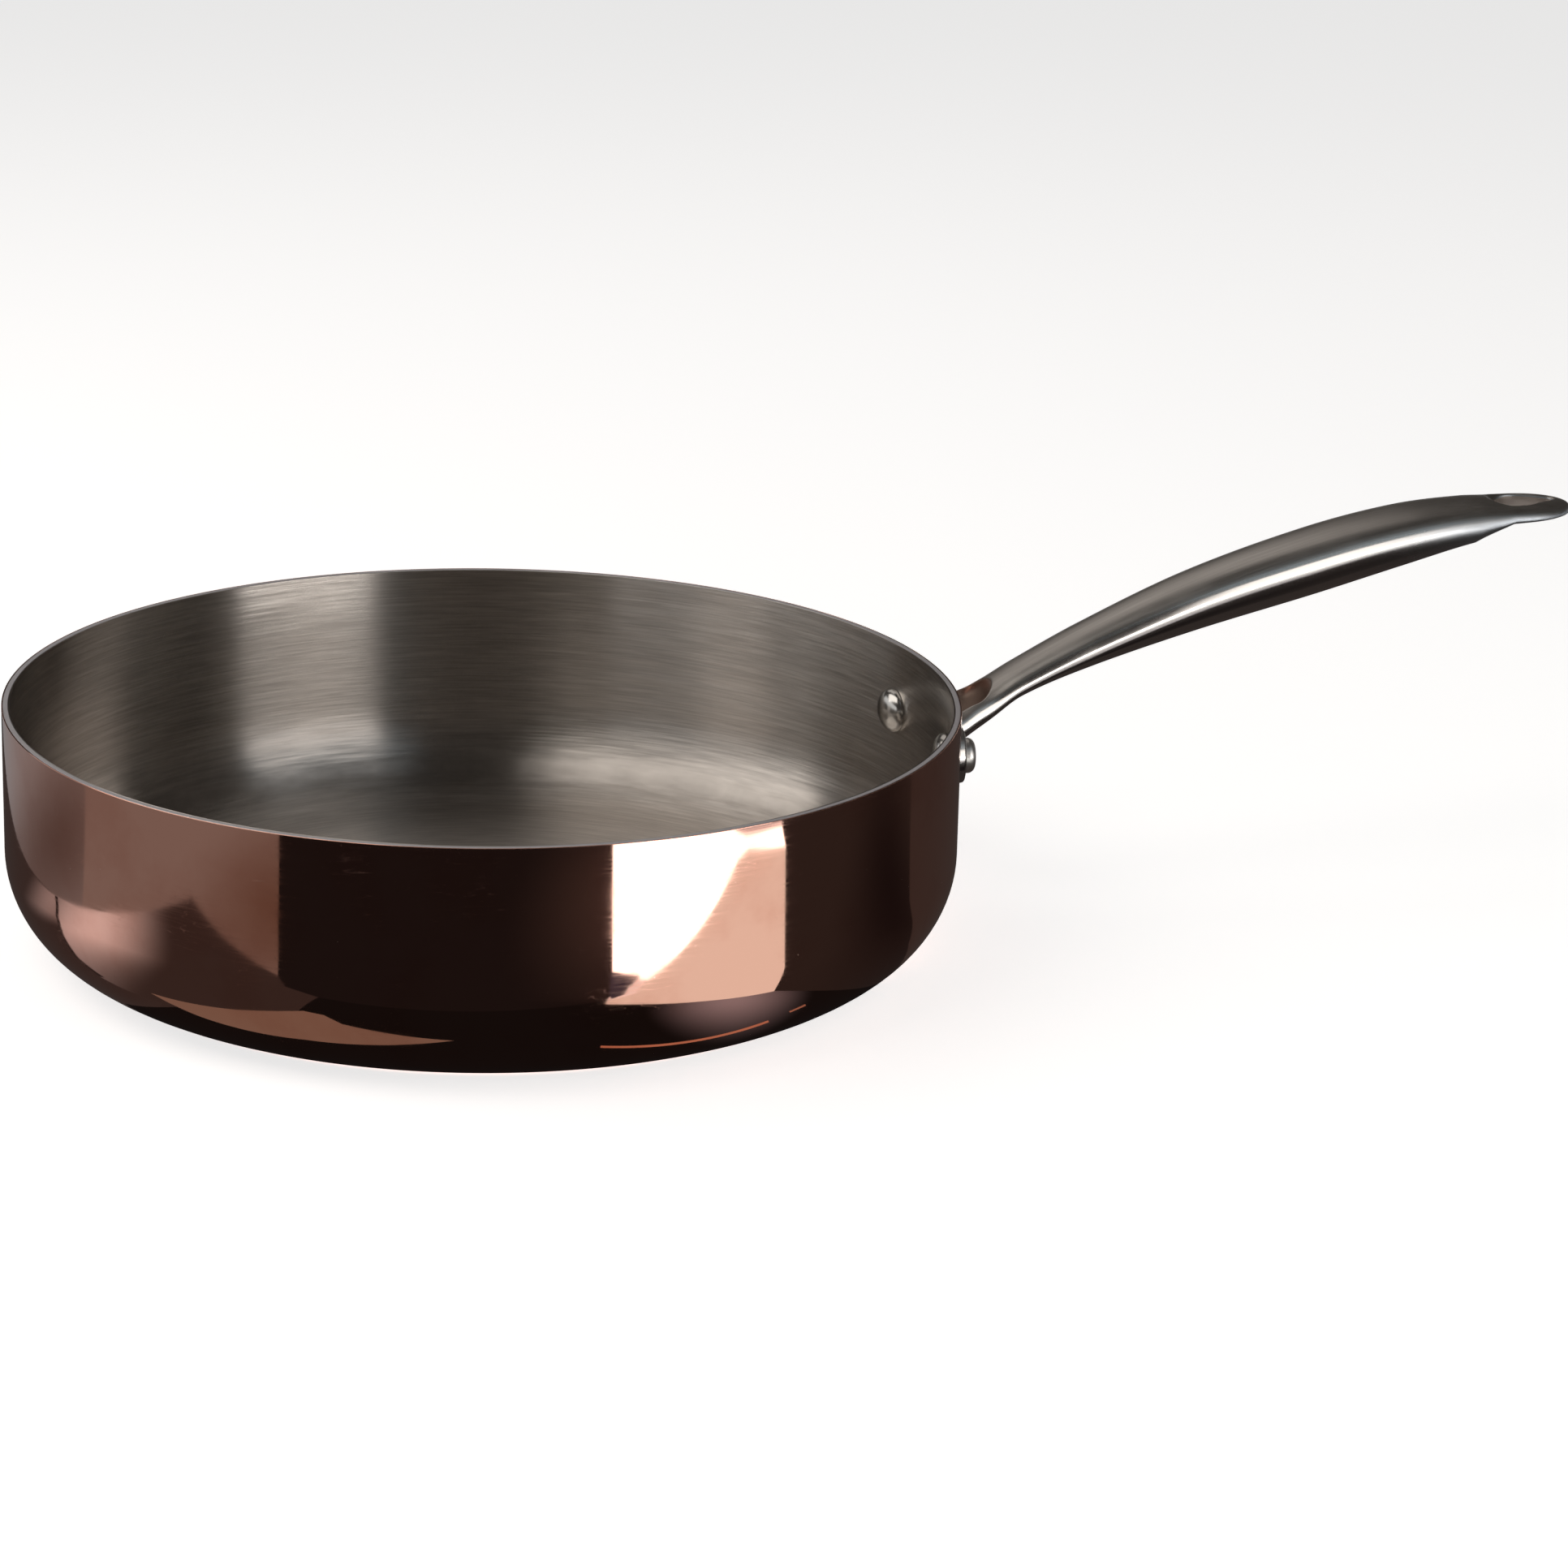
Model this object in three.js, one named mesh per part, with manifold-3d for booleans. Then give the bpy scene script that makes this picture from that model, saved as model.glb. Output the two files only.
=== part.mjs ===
// A straight-sided saute pan: a three-layer clad vessel, one cast handle and the two rivets that hold it.
// Millimetres, +Z up. The origin is the centre of the base underside, and the handle points along +X.

import * as THREE from 'three';
import { mergeVertices } from 'three/addons/utils/BufferGeometryUtils.js';
import Module from 'manifold-3d';

const wasm = await Module();
wasm.setup();

// Vessel
const innerDiameter = 280;
const vesselHeight = 75;
const liningThickness = 0.4;
const coreThickness = 1.5;
const shellThickness = 0.4;
const cornerRadius = 31; // outside, where the base turns up into the wall

// Rivets, side by side at one height
const rivetDrop = 21.3; // below the rim
const rivetSpacing = 49.4; // between the rivets' axes, measured across the outside of the wall
const rivetShankDiameter = 6.5;
const rivetDomeDiameter = 14; // head inside the pan
const rivetDomeHeight = 4;
const rivetButtonDiameter = 10.8; // head outside, over the flange
const rivetButtonHeight = 3.3;
const rivetButtonRounding = 2.2;

// Handle flange, a plate that hugs the wall
const flangeThickness = 2.8;
const flangeEarRadius = 8.4; // round each rivet
const flangePeak = 8.4; // top edge at the neck, above the rivets' line
const flangeDip = 7.6; // bottom edge at the neck, below the rivets' line

// Handle sections: reach from the outside of the wall, rise of the top above the rivets' line
const rootReach = 9;
const rootRise = 11.1;
const rootThickness = 12;
const rootWidth = 22.5;
const rootFlare = 11; // added to the width where the root meets the wall
const throatReach = 16;
const throatRise = 14.2;
const throatThickness = 10.95;
const throatWidth = 19.6;
const neckReach = 26;
const neckRise = 19.9;
const neckThickness = 10.1;
const neckWidth = 17.9;
const waistReach = 48;
const waistRise = 31;
const waistThickness = 13.5;
const waistWidth = 19.2;
const swellReach = 83;
const swellRise = 45.3;
const swellThickness = 18.1;
const swellWidth = 23.2;
const gripReach = 123;
const gripRise = 56.8;
const gripThickness = 19.9;
const gripWidth = 27.2;
const heelReach = 153;
const heelRise = 62.5;
const heelThickness = 17.8;
const heelWidth = 28;
const keelReach = 175; // where the underside stops and steps up to the thin tongue
const keelRise = 64.1;
const keelThickness = 13.7;
const keelWidth = 26.6;
const tongueReach = 187;
const tongueRise = 63.4;
const tongueThickness = 7.5;
const tongueWidth = 25;
const tipReach = 211;
const tipRise = 62.7;
const tipThickness = 5.6;
const tipRounding = 17; // length over which the end narrows to its round nose
const crownShare = 0.44; // part of a section's thickness that lies above its widest line
const crownFullness = 2.3; // superellipse exponents, above and below the widest line
const bellyFullness = 2;

// Hollows in the handle
const scoopReach = 17.7; // tip of the hollow on top of the root
const scoopWidth = 15;
const scoopDepth = 6;
const slotReach = 192.4; // middle of the hanging slot's wide end
const slotWidth = 13.6;
const slotTipWidth = 4.8; // at the end towards the tip
const slotSpan = 10.2; // between the middles of the two round ends

// Clearances
const fitGap = 0.3; // round the rivets, and between the handle and the wall
const bondGap = 0.03; // between the bonded layers of the vessel

// Fineness of the round forms
const wallSides = 72;
const cornerSteps = 3;
const arcSteps = 10;
const rivetSides = 20;
const sectionPoints = 24;
const stepsPerSpan = 4;
const tipSteps = 6;
const searchSteps = 40; // halvings that find a reach on the handle's curve
const weldDistance = 1e-4; // points nearer than this become one

// Sizes worked out from the driving ones
const innerRadius = innerDiameter / 2;
const coreDepth = shellThickness + bondGap; // depths below the vessel's outside surface
const liningDepth = coreDepth + coreThickness + bondGap;
const cladThickness = liningDepth + liningThickness;
const outerRadius = innerRadius + cladThickness;
const flangeInnerRadius = outerRadius + fitGap;
const flangeOuterRadius = flangeInnerRadius + flangeThickness;
const rivetHeight = vesselHeight - rivetDrop;
const rivetAngle = Math.asin(rivetSpacing / 2 / outerRadius);
const rivetHoleRadius = rivetShankDiameter / 2 + fitGap;

const materials = {
  copper: new THREE.MeshStandardMaterial({ color: 0xb5705a, roughness: 0.1, metalness: 1 }),
  aluminium: new THREE.MeshStandardMaterial({ color: 0xc3c2c8, roughness: 0.4, metalness: 1 }),
  brushedSteel: new THREE.MeshStandardMaterial({ color: 0x9a958e, roughness: 0.32, metalness: 1 }),
  castSteel: new THREE.MeshStandardMaterial({ color: 0xa8a39c, roughness: 0.24, metalness: 1 }),
  polishedSteel: new THREE.MeshStandardMaterial({ color: 0xbdb9b3, roughness: 0.16, metalness: 1 }),
};

// A closed geometry as a solid that can be cut and joined
function solidFrom(geometry) {
  const bare = geometry.clone();
  bare.deleteAttribute('normal');
  bare.deleteAttribute('uv');
  const merged = mergeVertices(bare, weldDistance);
  const index = merged.index.array;
  const triangles = [];
  for (let i = 0; i < index.length; i += 3) {
    const [a, b, c] = [index[i], index[i + 1], index[i + 2]];
    if (a !== b && b !== c && c !== a) triangles.push(a, b, c);
  }
  return new wasm.Manifold(new wasm.Mesh({
    numProp: 3,
    vertProperties: new Float32Array(merged.attributes.position.array),
    triVerts: new Uint32Array(triangles),
  }));
}

// The surface of a solid as a geometry
function geometryFrom(solid) {
  const mesh = solid.getMesh();
  const geometry = new THREE.BufferGeometry();
  geometry.setAttribute('position', new THREE.BufferAttribute(new Float32Array(mesh.vertProperties), 3));
  geometry.setIndex(new THREE.BufferAttribute(new Uint32Array(mesh.triVerts), 1));
  geometry.computeVertexNormals();
  return geometry;
}

// A profile of (radius, height) points turned about the Z axis
function turned(profile, sides) {
  return new THREE.LatheGeometry(profile, sides).rotateX(Math.PI / 2);
}

// A flat outline given a depth along Z
function extruded(outline, depth) {
  return new THREE.ExtrudeGeometry(outline, { depth, curveSegments: arcSteps, bevelEnabled: false });
}

// A round bar along a rivet's axis, from the pan's axis outwards
function rivetBar(radius, side) {
  const bar = new THREE.CylinderGeometry(radius, radius, outerRadius, rivetSides);
  bar.rotateZ(Math.PI / 2).translate(outerRadius, 0, rivetHeight);
  return solidFrom(bar.rotateZ(side * rivetAngle));
}

function drillRivetHoles(solid) {
  return solid.subtract(rivetBar(rivetHoleRadius, 1)).subtract(rivetBar(rivetHoleRadius, -1));
}

// Vessel layers

// Outline of the vessel at a depth below its outside surface, from the axis to the rim
function cupOutline(depth) {
  const cornerCentre = outerRadius - cornerRadius;
  const outline = new THREE.Path();
  outline.moveTo(0, depth);
  outline.lineTo(cornerCentre, depth);
  outline.absarc(cornerCentre, cornerRadius, cornerRadius - depth, -Math.PI / 2, 0, false);
  outline.lineTo(outerRadius - depth, vesselHeight);
  return outline.getPoints(cornerSteps);
}

function layer(outerDepth, thickness) {
  const profile = [...cupOutline(outerDepth), ...cupOutline(outerDepth + thickness).reverse()];
  return geometryFrom(drillRivetHoles(solidFrom(turned(profile, wallSides))));
}

// Rivets: domed head inside, shank through the wall and flange, button head outside

function rivetGeometry() {
  const domeRadius = rivetDomeDiameter / 2;
  const buttonRadius = rivetButtonDiameter / 2;
  const shankRadius = rivetShankDiameter / 2;
  const wallFlat = innerRadius * Math.cos(Math.PI / wallSides);
  const domeSeat = Math.sqrt(wallFlat ** 2 - domeRadius ** 2) - fitGap;
  const buttonSeat = flangeOuterRadius + fitGap;
  const buttonFace = buttonSeat + rivetButtonHeight;
  const outline = new THREE.Path();
  outline.moveTo(0, domeSeat - rivetDomeHeight);
  outline.absellipse(0, domeSeat, domeRadius, rivetDomeHeight, -Math.PI / 2, 0, false, 0);
  outline.lineTo(shankRadius, domeSeat);
  outline.lineTo(shankRadius, buttonSeat);
  outline.lineTo(buttonRadius, buttonSeat);
  const rounding = rivetButtonRounding;
  outline.absarc(buttonRadius - rounding, buttonFace - rounding, rounding, 0, Math.PI / 2, false);
  outline.lineTo(0, buttonFace);
  return turned(outline.getPoints(cornerSteps), rivetSides).rotateY(Math.PI / 2);
}

// Handle

// Control sections from the wall to the tip: where the top lies, how wide and how thick
const handleSections = [
  { reach: -rootReach, rise: 0, width: rootWidth + 2 * rootFlare, thickness: rootThickness },
  { reach: 0, rise: rootRise / 2, width: rootWidth + rootFlare / 2, thickness: rootThickness },
  { reach: rootReach, rise: rootRise, width: rootWidth, thickness: rootThickness },
  { reach: throatReach, rise: throatRise, width: throatWidth, thickness: throatThickness },
  { reach: neckReach, rise: neckRise, width: neckWidth, thickness: neckThickness },
  { reach: waistReach, rise: waistRise, width: waistWidth, thickness: waistThickness },
  { reach: swellReach, rise: swellRise, width: swellWidth, thickness: swellThickness },
  { reach: gripReach, rise: gripRise, width: gripWidth, thickness: gripThickness },
  { reach: heelReach, rise: heelRise, width: heelWidth, thickness: heelThickness },
  { reach: keelReach, rise: keelRise, width: keelWidth, thickness: keelThickness },
  { reach: tongueReach, rise: tongueRise, width: tongueWidth, thickness: tongueThickness },
  { reach: tipReach, rise: tipRise, width: tongueWidth, thickness: tipThickness },
];

const sectionPlaces = handleSections.map(({ reach, rise }) => new THREE.Vector3(reach, 0, rise));
const sectionSizes = handleSections.map(({ width, thickness }) => new THREE.Vector3(width, thickness, 0));
const placeCurve = new THREE.CatmullRomCurve3(sectionPlaces, false, 'catmullrom');
const sizeCurve = new THREE.CatmullRomCurve3(sectionSizes, false, 'catmullrom');

// Where along the curves a given reach lies
function curveShareAt(reach) {
  let [low, high] = [0, 1];
  for (let i = 0; i < searchSteps; i += 1) {
    const middle = (low + high) / 2;
    if (placeCurve.getPoint(middle).x < reach) low = middle;
    else high = middle;
  }
  return (low + high) / 2;
}

// One closed section of the handle: a superellipse with a crown above and a belly below its widest line
function sectionRing(reach, widthShare, thicknessShare) {
  const share = curveShareAt(reach);
  const place = placeCurve.getPoint(share);
  const size = sizeCurve.getPoint(share);
  const halfWidth = size.x / 2 * widthShare;
  const thickness = size.y * thicknessShare;
  const crown = thickness * crownShare;
  const widestHeight = rivetHeight + place.z - size.y * crownShare;
  const ring = [];
  for (let i = 0; i < sectionPoints; i += 1) {
    const angle = i / sectionPoints * 2 * Math.PI;
    const [across, up] = [Math.cos(angle), Math.sin(angle)];
    const exponent = 2 / (up >= 0 ? crownFullness : bellyFullness);
    const depth = up >= 0 ? crown : thickness - crown;
    const y = halfWidth * Math.sign(across) * Math.abs(across) ** exponent;
    const z = depth * Math.sign(up) * Math.abs(up) ** exponent;
    ring.push(new THREE.Vector3(outerRadius + place.x, y, widestHeight + z));
  }
  return ring;
}

// A closed skin over rings of equal point counts, with a fan at each end
function loft(rings) {
  const count = rings[0].length;
  const points = rings.flat();
  const triangles = [];
  for (let r = 0; r + 1 < rings.length; r += 1) {
    for (let i = 0; i < count; i += 1) {
      const a = r * count + i;
      const b = r * count + (i + 1) % count;
      triangles.push(a, b, b + count, a, b + count, a + count);
    }
  }
  for (const end of [0, rings.length - 1]) {
    const centre = new THREE.Vector3();
    for (const point of rings[end]) centre.add(point);
    points.push(centre.divideScalar(count));
    for (let i = 0; i < count; i += 1) {
      const a = end * count + i;
      const b = end * count + (i + 1) % count;
      if (end === 0) triangles.push(points.length - 1, b, a);
      else triangles.push(points.length - 1, a, b);
    }
  }
  const geometry = new THREE.BufferGeometry().setFromPoints(points);
  geometry.setIndex(triangles);
  return geometry;
}

function handleBody() {
  const rings = [];
  const noseStart = tipReach - tipRounding;
  for (let span = 0; span + 1 < handleSections.length; span += 1) {
    const start = handleSections[span].reach;
    const end = Math.min(handleSections[span + 1].reach, noseStart);
    for (let step = 0; step < stepsPerSpan && end > start; step += 1) {
      rings.push(sectionRing(start + (end - start) * step / stepsPerSpan, 1, 1));
    }
  }
  for (let step = 0; step < tipSteps; step += 1) {
    const angle = step / tipSteps * Math.PI / 2;
    const narrowing = Math.cos(angle);
    rings.push(sectionRing(noseStart + tipRounding * Math.sin(angle), narrowing, Math.sqrt(narrowing)));
  }
  return solidFrom(loft(rings));
}

// An upright bar on the vessel's axis, with as many sides as the wall, taller than the handle's root
function roundBar(radius) {
  const bar = new THREE.CylinderGeometry(radius, radius, 4 * vesselHeight, wallSides);
  return solidFrom(bar.rotateX(Math.PI / 2));
}

// The plate on the wall: an ear round each rivet, rising to the neck between them
function flange() {
  const earPlace = rivetSpacing / 2;
  const ear = flangeEarRadius;
  const outline = new THREE.Shape();
  outline.absarc(earPlace, 0, ear, -Math.PI / 2, Math.PI / 2, false);
  outline.quadraticCurveTo(0, 2 * flangePeak - ear, -earPlace, ear);
  outline.absarc(-earPlace, 0, ear, Math.PI / 2, 3 * Math.PI / 2, false);
  outline.quadraticCurveTo(0, ear - 2 * flangeDip, earPlace, -ear);
  const plate = extruded(outline, outerRadius);
  plate.rotateX(Math.PI / 2).rotateZ(Math.PI / 2).translate(outerRadius / 2, 0, rivetHeight);
  const skin = roundBar(flangeOuterRadius).subtract(roundBar(flangeInnerRadius));
  return solidFrom(plate).intersect(skin);
}

// The hollow on top of the root, round-nosed and open to the wall
function scoop() {
  const slope = Math.atan2(throatRise - rootRise, throatReach - rootReach);
  const radius = scoopWidth / 2;
  const noseToCentre = scoopReach / Math.cos(slope) - radius;
  const hollow = new THREE.CapsuleGeometry(radius, 2 * noseToCentre, arcSteps, 2 * arcSteps);
  hollow.rotateZ(Math.PI / 2).scale(1, 1, scoopDepth / radius).rotateY(-slope);
  const topAtWall = rivetHeight + rootRise - rootReach * Math.tan(slope);
  return solidFrom(hollow.translate(outerRadius, 0, topAtWall));
}

// The slot that the pan hangs by, straight down through the tongue: two round ends and the lines that touch both
function slot() {
  const [wide, narrow] = [slotWidth / 2, slotTipWidth / 2];
  const touch = Math.acos((wide - narrow) / slotSpan);
  const outline = new THREE.Shape();
  outline.absarc(slotSpan, 0, narrow, -touch, touch, false);
  outline.absarc(0, 0, wide, touch, 2 * Math.PI - touch, false);
  const middleHeight = rivetHeight + tongueRise;
  const cutter = extruded(outline, vesselHeight).translate(0, 0, middleHeight - vesselHeight / 2);
  return solidFrom(cutter.translate(outerRadius + slotReach, 0, 0));
}

function handleGeometry() {
  const whole = handleBody().add(flange());
  const hollowed = whole.subtract(roundBar(flangeInnerRadius)).subtract(scoop()).subtract(slot());
  return geometryFrom(drillRivetHoles(hollowed));
}

// Assembly

function piece(name, geometry, material) {
  const mesh = new THREE.Mesh(geometry, material);
  mesh.name = name;
  return mesh;
}

const pan = new THREE.Group();
pan.add(piece('copper_shell', layer(0, shellThickness), materials.copper));
pan.add(piece('aluminium_core', layer(coreDepth, coreThickness), materials.aluminium));
pan.add(piece('steel_lining', layer(liningDepth, liningThickness), materials.brushedSteel));
pan.add(piece('handle', handleGeometry(), materials.castSteel));

for (const [name, side] of [['rivet_left', 1], ['rivet_right', -1]]) {
  const rivet = piece(name, rivetGeometry(), materials.polishedSteel);
  rivet.position.z = rivetHeight;
  rivet.rotation.z = side * rivetAngle;
  pan.add(rivet);
}

export default pan;
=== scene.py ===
"""A straight-sided saute pan: copper outside, brushed steel inside, with a riveted cast handle.

Every piece is modelled in metres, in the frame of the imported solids, and stands for one of them.
"""

import math

import bmesh
import bpy
from bpy.props import FloatProperty, FloatVectorProperty, PointerProperty
from bpy.types import Operator, Panel, PropertyGroup
from mathutils import Matrix, Quaternion, Vector


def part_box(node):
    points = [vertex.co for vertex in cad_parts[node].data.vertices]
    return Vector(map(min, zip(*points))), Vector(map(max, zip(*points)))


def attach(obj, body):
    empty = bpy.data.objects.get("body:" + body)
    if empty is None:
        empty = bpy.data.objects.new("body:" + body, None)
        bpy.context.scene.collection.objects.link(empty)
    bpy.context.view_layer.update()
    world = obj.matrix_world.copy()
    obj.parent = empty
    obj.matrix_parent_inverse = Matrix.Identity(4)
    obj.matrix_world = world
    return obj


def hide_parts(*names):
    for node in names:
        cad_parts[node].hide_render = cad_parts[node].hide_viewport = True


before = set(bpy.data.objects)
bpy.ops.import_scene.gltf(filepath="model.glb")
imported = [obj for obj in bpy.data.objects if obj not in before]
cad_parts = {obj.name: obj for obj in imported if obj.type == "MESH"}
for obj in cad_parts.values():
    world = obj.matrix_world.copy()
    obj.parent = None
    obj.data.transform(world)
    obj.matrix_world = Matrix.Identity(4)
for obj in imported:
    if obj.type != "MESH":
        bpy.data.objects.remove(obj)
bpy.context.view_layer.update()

bl_info = {
    "name": "Saute Pan",
    "version": (1, 0, 0),
    "blender": (4, 5, 0),
    "location": "View3D > Sidebar > Pan",
    "description": "Builds a clad saute pan with a riveted cast handle, and a studio to see it in",
    "category": "Add Mesh",
}

MM = 0.001

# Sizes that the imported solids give
SHELL_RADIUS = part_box("copper_shell")[1].x
CORE_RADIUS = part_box("aluminium_core")[1].x
LINING_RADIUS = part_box("steel_lining")[1].x
RIM_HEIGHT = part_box("copper_shell")[1].z
RIVET_HEIGHT = sum(corner.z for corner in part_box("rivet_left")) / 2
TIP_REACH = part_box("handle")[1].x - SHELL_RADIUS

# Fineness of the round forms
TURN_STEPS = 320
CORNER_SEGMENTS = 24
RIM_SEGMENTS = 3
HOLE_SIDES = 48
RIVET_STEPS = 64
DOME_STEPS = 14
RING_POINTS = 96
RING_PITCH = 1.6 * MM
NOSE_STEPS = 14
FILLET_STEPS = 6
PLATE_STEPS = 5
SLOT_STEPS = 16
WELD = 0.001 * MM

# Angles in degrees past which an edge stays sharp
VESSEL_CREASE = 30.0
HANDLE_CREASE = 38.0
RIVET_CREASE = 40.0


def length(name, description, millimetres):
    """A length that a user can change."""
    return FloatProperty(
        name=name, description=description, default=millimetres * MM, unit="LENGTH", precision=5
    )


def colour(name, description, red, green, blue):
    """A linear colour that a user can change."""
    return FloatVectorProperty(
        name=name, description=description, default=(red, green, blue), subtype="COLOR", min=0.0, max=1.0
    )


def turning(name, description, degrees):
    """An angle that a user can change."""
    return FloatProperty(
        name=name, description=description, default=math.radians(degrees), subtype="ANGLE", precision=4
    )


class VesselSettings(PropertyGroup):
    """Sizes and colours of the three bonded layers."""

    corner_radius: length("Corner radius", "Outside radius where the base turns up into the wall", 31)
    shell_thickness: length("Shell thickness", "Thickness of the copper", 0.4)
    core_thickness: length("Core thickness", "Thickness of the aluminium", 1.5)
    lining_thickness: length("Lining thickness", "Thickness of the steel", 0.4)
    rim_rounding: length("Rim rounding", "Radius of the broken edges at the rim", 0.16)
    copper: colour("Copper", "Colour of the polished copper", 0.86, 0.50, 0.40)
    aluminium: colour("Aluminium", "Colour of the ground rim", 0.80, 0.79, 0.83)
    steel: colour("Lining steel", "Colour of the brushed lining", 0.67, 0.625, 0.585)


class RivetSettings(PropertyGroup):
    """Sizes and colour of the two rivets."""

    spacing: length("Spacing", "Distance between the rivets, across the outside of the wall", 49.4)
    shank_diameter: length("Shank diameter", "Diameter of the shank", 6.5)
    hole_gap: length("Hole gap", "Room round the shank", 0.3)
    dome_diameter: length("Dome diameter", "Diameter of the head inside the pan", 14)
    dome_height: length("Dome height", "Height of the head inside the pan", 4)
    button_diameter: length("Button diameter", "Diameter of the head outside", 10.8)
    button_height: length("Button height", "Height of the head outside", 3.3)
    button_rounding: length("Button rounding", "Radius of the shoulder of the head outside", 2.2)
    seat_gap: length("Seat gap", "Hair's breadth between a head and its seat", 0.05)
    steel: colour("Rivet steel", "Colour of the polished rivets", 0.66, 0.645, 0.62)


class HandleSettings(PropertyGroup):
    """Sizes and colour of the cast handle."""

    wall_gap: length("Wall gap", "Room between the flange and the wall", 0.3)
    flange_thickness: length("Flange thickness", "Thickness of the plate on the wall", 2.8)
    flange_rounding: length("Flange rounding", "Radius of the plate's front edge", 0.7)
    ear_radius: length("Ear radius", "Radius of the plate round each rivet", 8.4)
    flange_peak: length("Flange peak", "Top of the plate at the neck, above the rivets' line", 8.4)
    flange_dip: length("Flange dip", "Bottom of the plate at the neck, below the rivets' line", 7.6)
    fillet: length("Fillet", "Radius between the neck and the plate", 3.2)
    tip_rounding: length("Tip rounding", "Length over which the end narrows to its round nose", 17)
    scoop_reach: length("Scoop reach", "Tip of the hollow in the root, from the wall", 17.7)
    scoop_width: length("Scoop width", "Width of the hollow in the root", 15)
    scoop_depth: length("Scoop depth", "Depth of the hollow in the root", 6)
    scoop_nose: length("Scoop nose", "Length of the hollow's round end", 6.3)
    scoop_lip: length("Scoop lip", "Radius of the hollow's softened edge", 0.8)
    slot_reach: length("Slot reach", "Middle of the hanging slot's wide end, from the wall", 192.4)
    slot_width: length("Slot width", "Width of the slot at its wide end", 13.6)
    slot_tip_width: length("Slot tip width", "Width of the slot at the end towards the tip", 4.8)
    slot_span: length("Slot span", "Distance between the middles of the slot's two round ends", 10.2)
    slot_lip: length("Slot lip", "Radius of the slot's broken edge", 1.0)
    slot_run_in: length("Slot run-in", "Radius of the slot's soft edge at its wide end", 3.6)
    steel: colour("Handle steel", "Colour of the cast handle", 0.60, 0.575, 0.55)
    # Painted reflection: a cool, darker colour that stands in for the bluish reflection on the sides near the
    # tip
    flank: colour("Flank steel", "Colour of the duller sides near the tip", 0.37, 0.40, 0.43)
    # Painted reflection and shade: a dark reddish colour that stands in for the copper seen in the root's
    # hollow and the shade in it
    scoop: colour("Scoop steel", "Colour of the unpolished steel in the root's hollow", 0.27, 0.20, 0.165)
    slot: colour("Slot steel", "Colour of the unpolished steel in the hanging slot", 0.52, 0.46, 0.42)


class StageSettings(PropertyGroup):
    """Floor and camera."""

    floor: colour("Floor", "Colour of the floor", 0.80, 0.80, 0.80)
    lens: FloatProperty(
        name="Lens", description="Focal length in millimetres", default=115.88, subtype="DISTANCE_CAMERA"
    )
    azimuth: turning("Azimuth", "Camera's turn round the pan", -18.15)
    elevation: turning("Elevation", "Camera's height angle", 17.873)
    roll: turning("Roll", "Camera's tilt about its own axis", 1.461)
    distance: length("Distance", "Camera's distance from what it looks at", 1511.56)


# Mesh helpers


def link_piece(name, bm):
    """A new object at the origin that holds the finished mesh."""
    mesh = bpy.data.meshes.new(name)
    bm.to_mesh(mesh)
    bm.free()
    piece = bpy.data.objects.new(name, mesh)
    bpy.context.scene.collection.objects.link(piece)
    return piece


def apply_modifiers(piece):
    """Replace the piece's mesh by what its modifiers make of it."""
    graph = bpy.context.evaluated_depsgraph_get()
    made = bpy.data.meshes.new_from_object(piece.evaluated_get(graph))
    if not made.polygons:
        raise RuntimeError(f"nothing is left of {piece.name}")
    old = piece.data
    piece.modifiers.clear()
    piece.data = made
    bpy.data.meshes.remove(old)
    made.name = piece.name


def cut(piece, cutter):
    """Take the cutter's space out of the piece and delete the cutter."""
    boolean = piece.modifiers.new("cut", "BOOLEAN")
    boolean.operation = "DIFFERENCE"
    boolean.solver = "EXACT"
    boolean.object = cutter
    apply_modifiers(piece)
    tool = cutter.data
    bpy.data.objects.remove(cutter)
    bpy.data.meshes.remove(tool)


def shade(piece, crease, weighted=True):
    """Shade smooth up to a crease angle, with normals that follow the larger faces where weighted."""
    piece.data.shade_smooth()
    piece.data.set_sharp_from_angle(angle=math.radians(crease))
    if weighted:
        normals = piece.modifiers.new("normals", "WEIGHTED_NORMAL")
        normals.mode = "FACE_AREA"
        normals.keep_sharp = True
        apply_modifiers(piece)


def deliver(piece, node, material):
    """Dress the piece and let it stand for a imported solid."""
    piece.data.materials.clear()
    piece.data.materials.append(material)
    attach(piece, "root")
    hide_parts(node)


def wire(bm, points):
    """A chain of edges through (across, up) points in the upright plane."""
    verts = [bm.verts.new((across, 0.0, up)) for across, up in points]
    for first, second in zip(verts, verts[1:]):
        bm.edges.new((first, second))
    return verts


def round_corner(bm, vert, radius, segments):
    """Turn a corner of a chain into an arc."""
    bmesh.ops.bevel(
        bm, geom=[vert], offset=radius, offset_type="OFFSET", segments=segments,
        profile=0.5, affect="VERTICES", material=-1,
    )


def seal(bm):
    """Weld the points that meet and turn the faces outwards."""
    bmesh.ops.remove_doubles(bm, verts=bm.verts[:], dist=WELD)
    bmesh.ops.recalc_face_normals(bm, faces=bm.faces[:])


def turn(bm, steps):
    """Turn the drawn chain once round the upright axis into a closed skin."""
    bmesh.ops.spin(
        bm, geom=bm.verts[:] + bm.edges[:], axis=(0, 0, 1), cent=(0, 0, 0),
        angle=math.tau, steps=steps, use_merge=True,
    )
    seal(bm)


def neighbours(ring):
    """Each point of a closed ring with the next one."""
    return zip(ring, ring[1:] + ring[:1])


def ring_edges(bm, ring):
    """The edges of a closed ring, in order."""
    return [bm.edges.get(pair) for pair in neighbours(ring)]


def cap(bm, ring):
    """Close a ring of points with one face."""
    bmesh.ops.contextual_create(bm, geom=ring + ring_edges(bm, ring))


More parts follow.
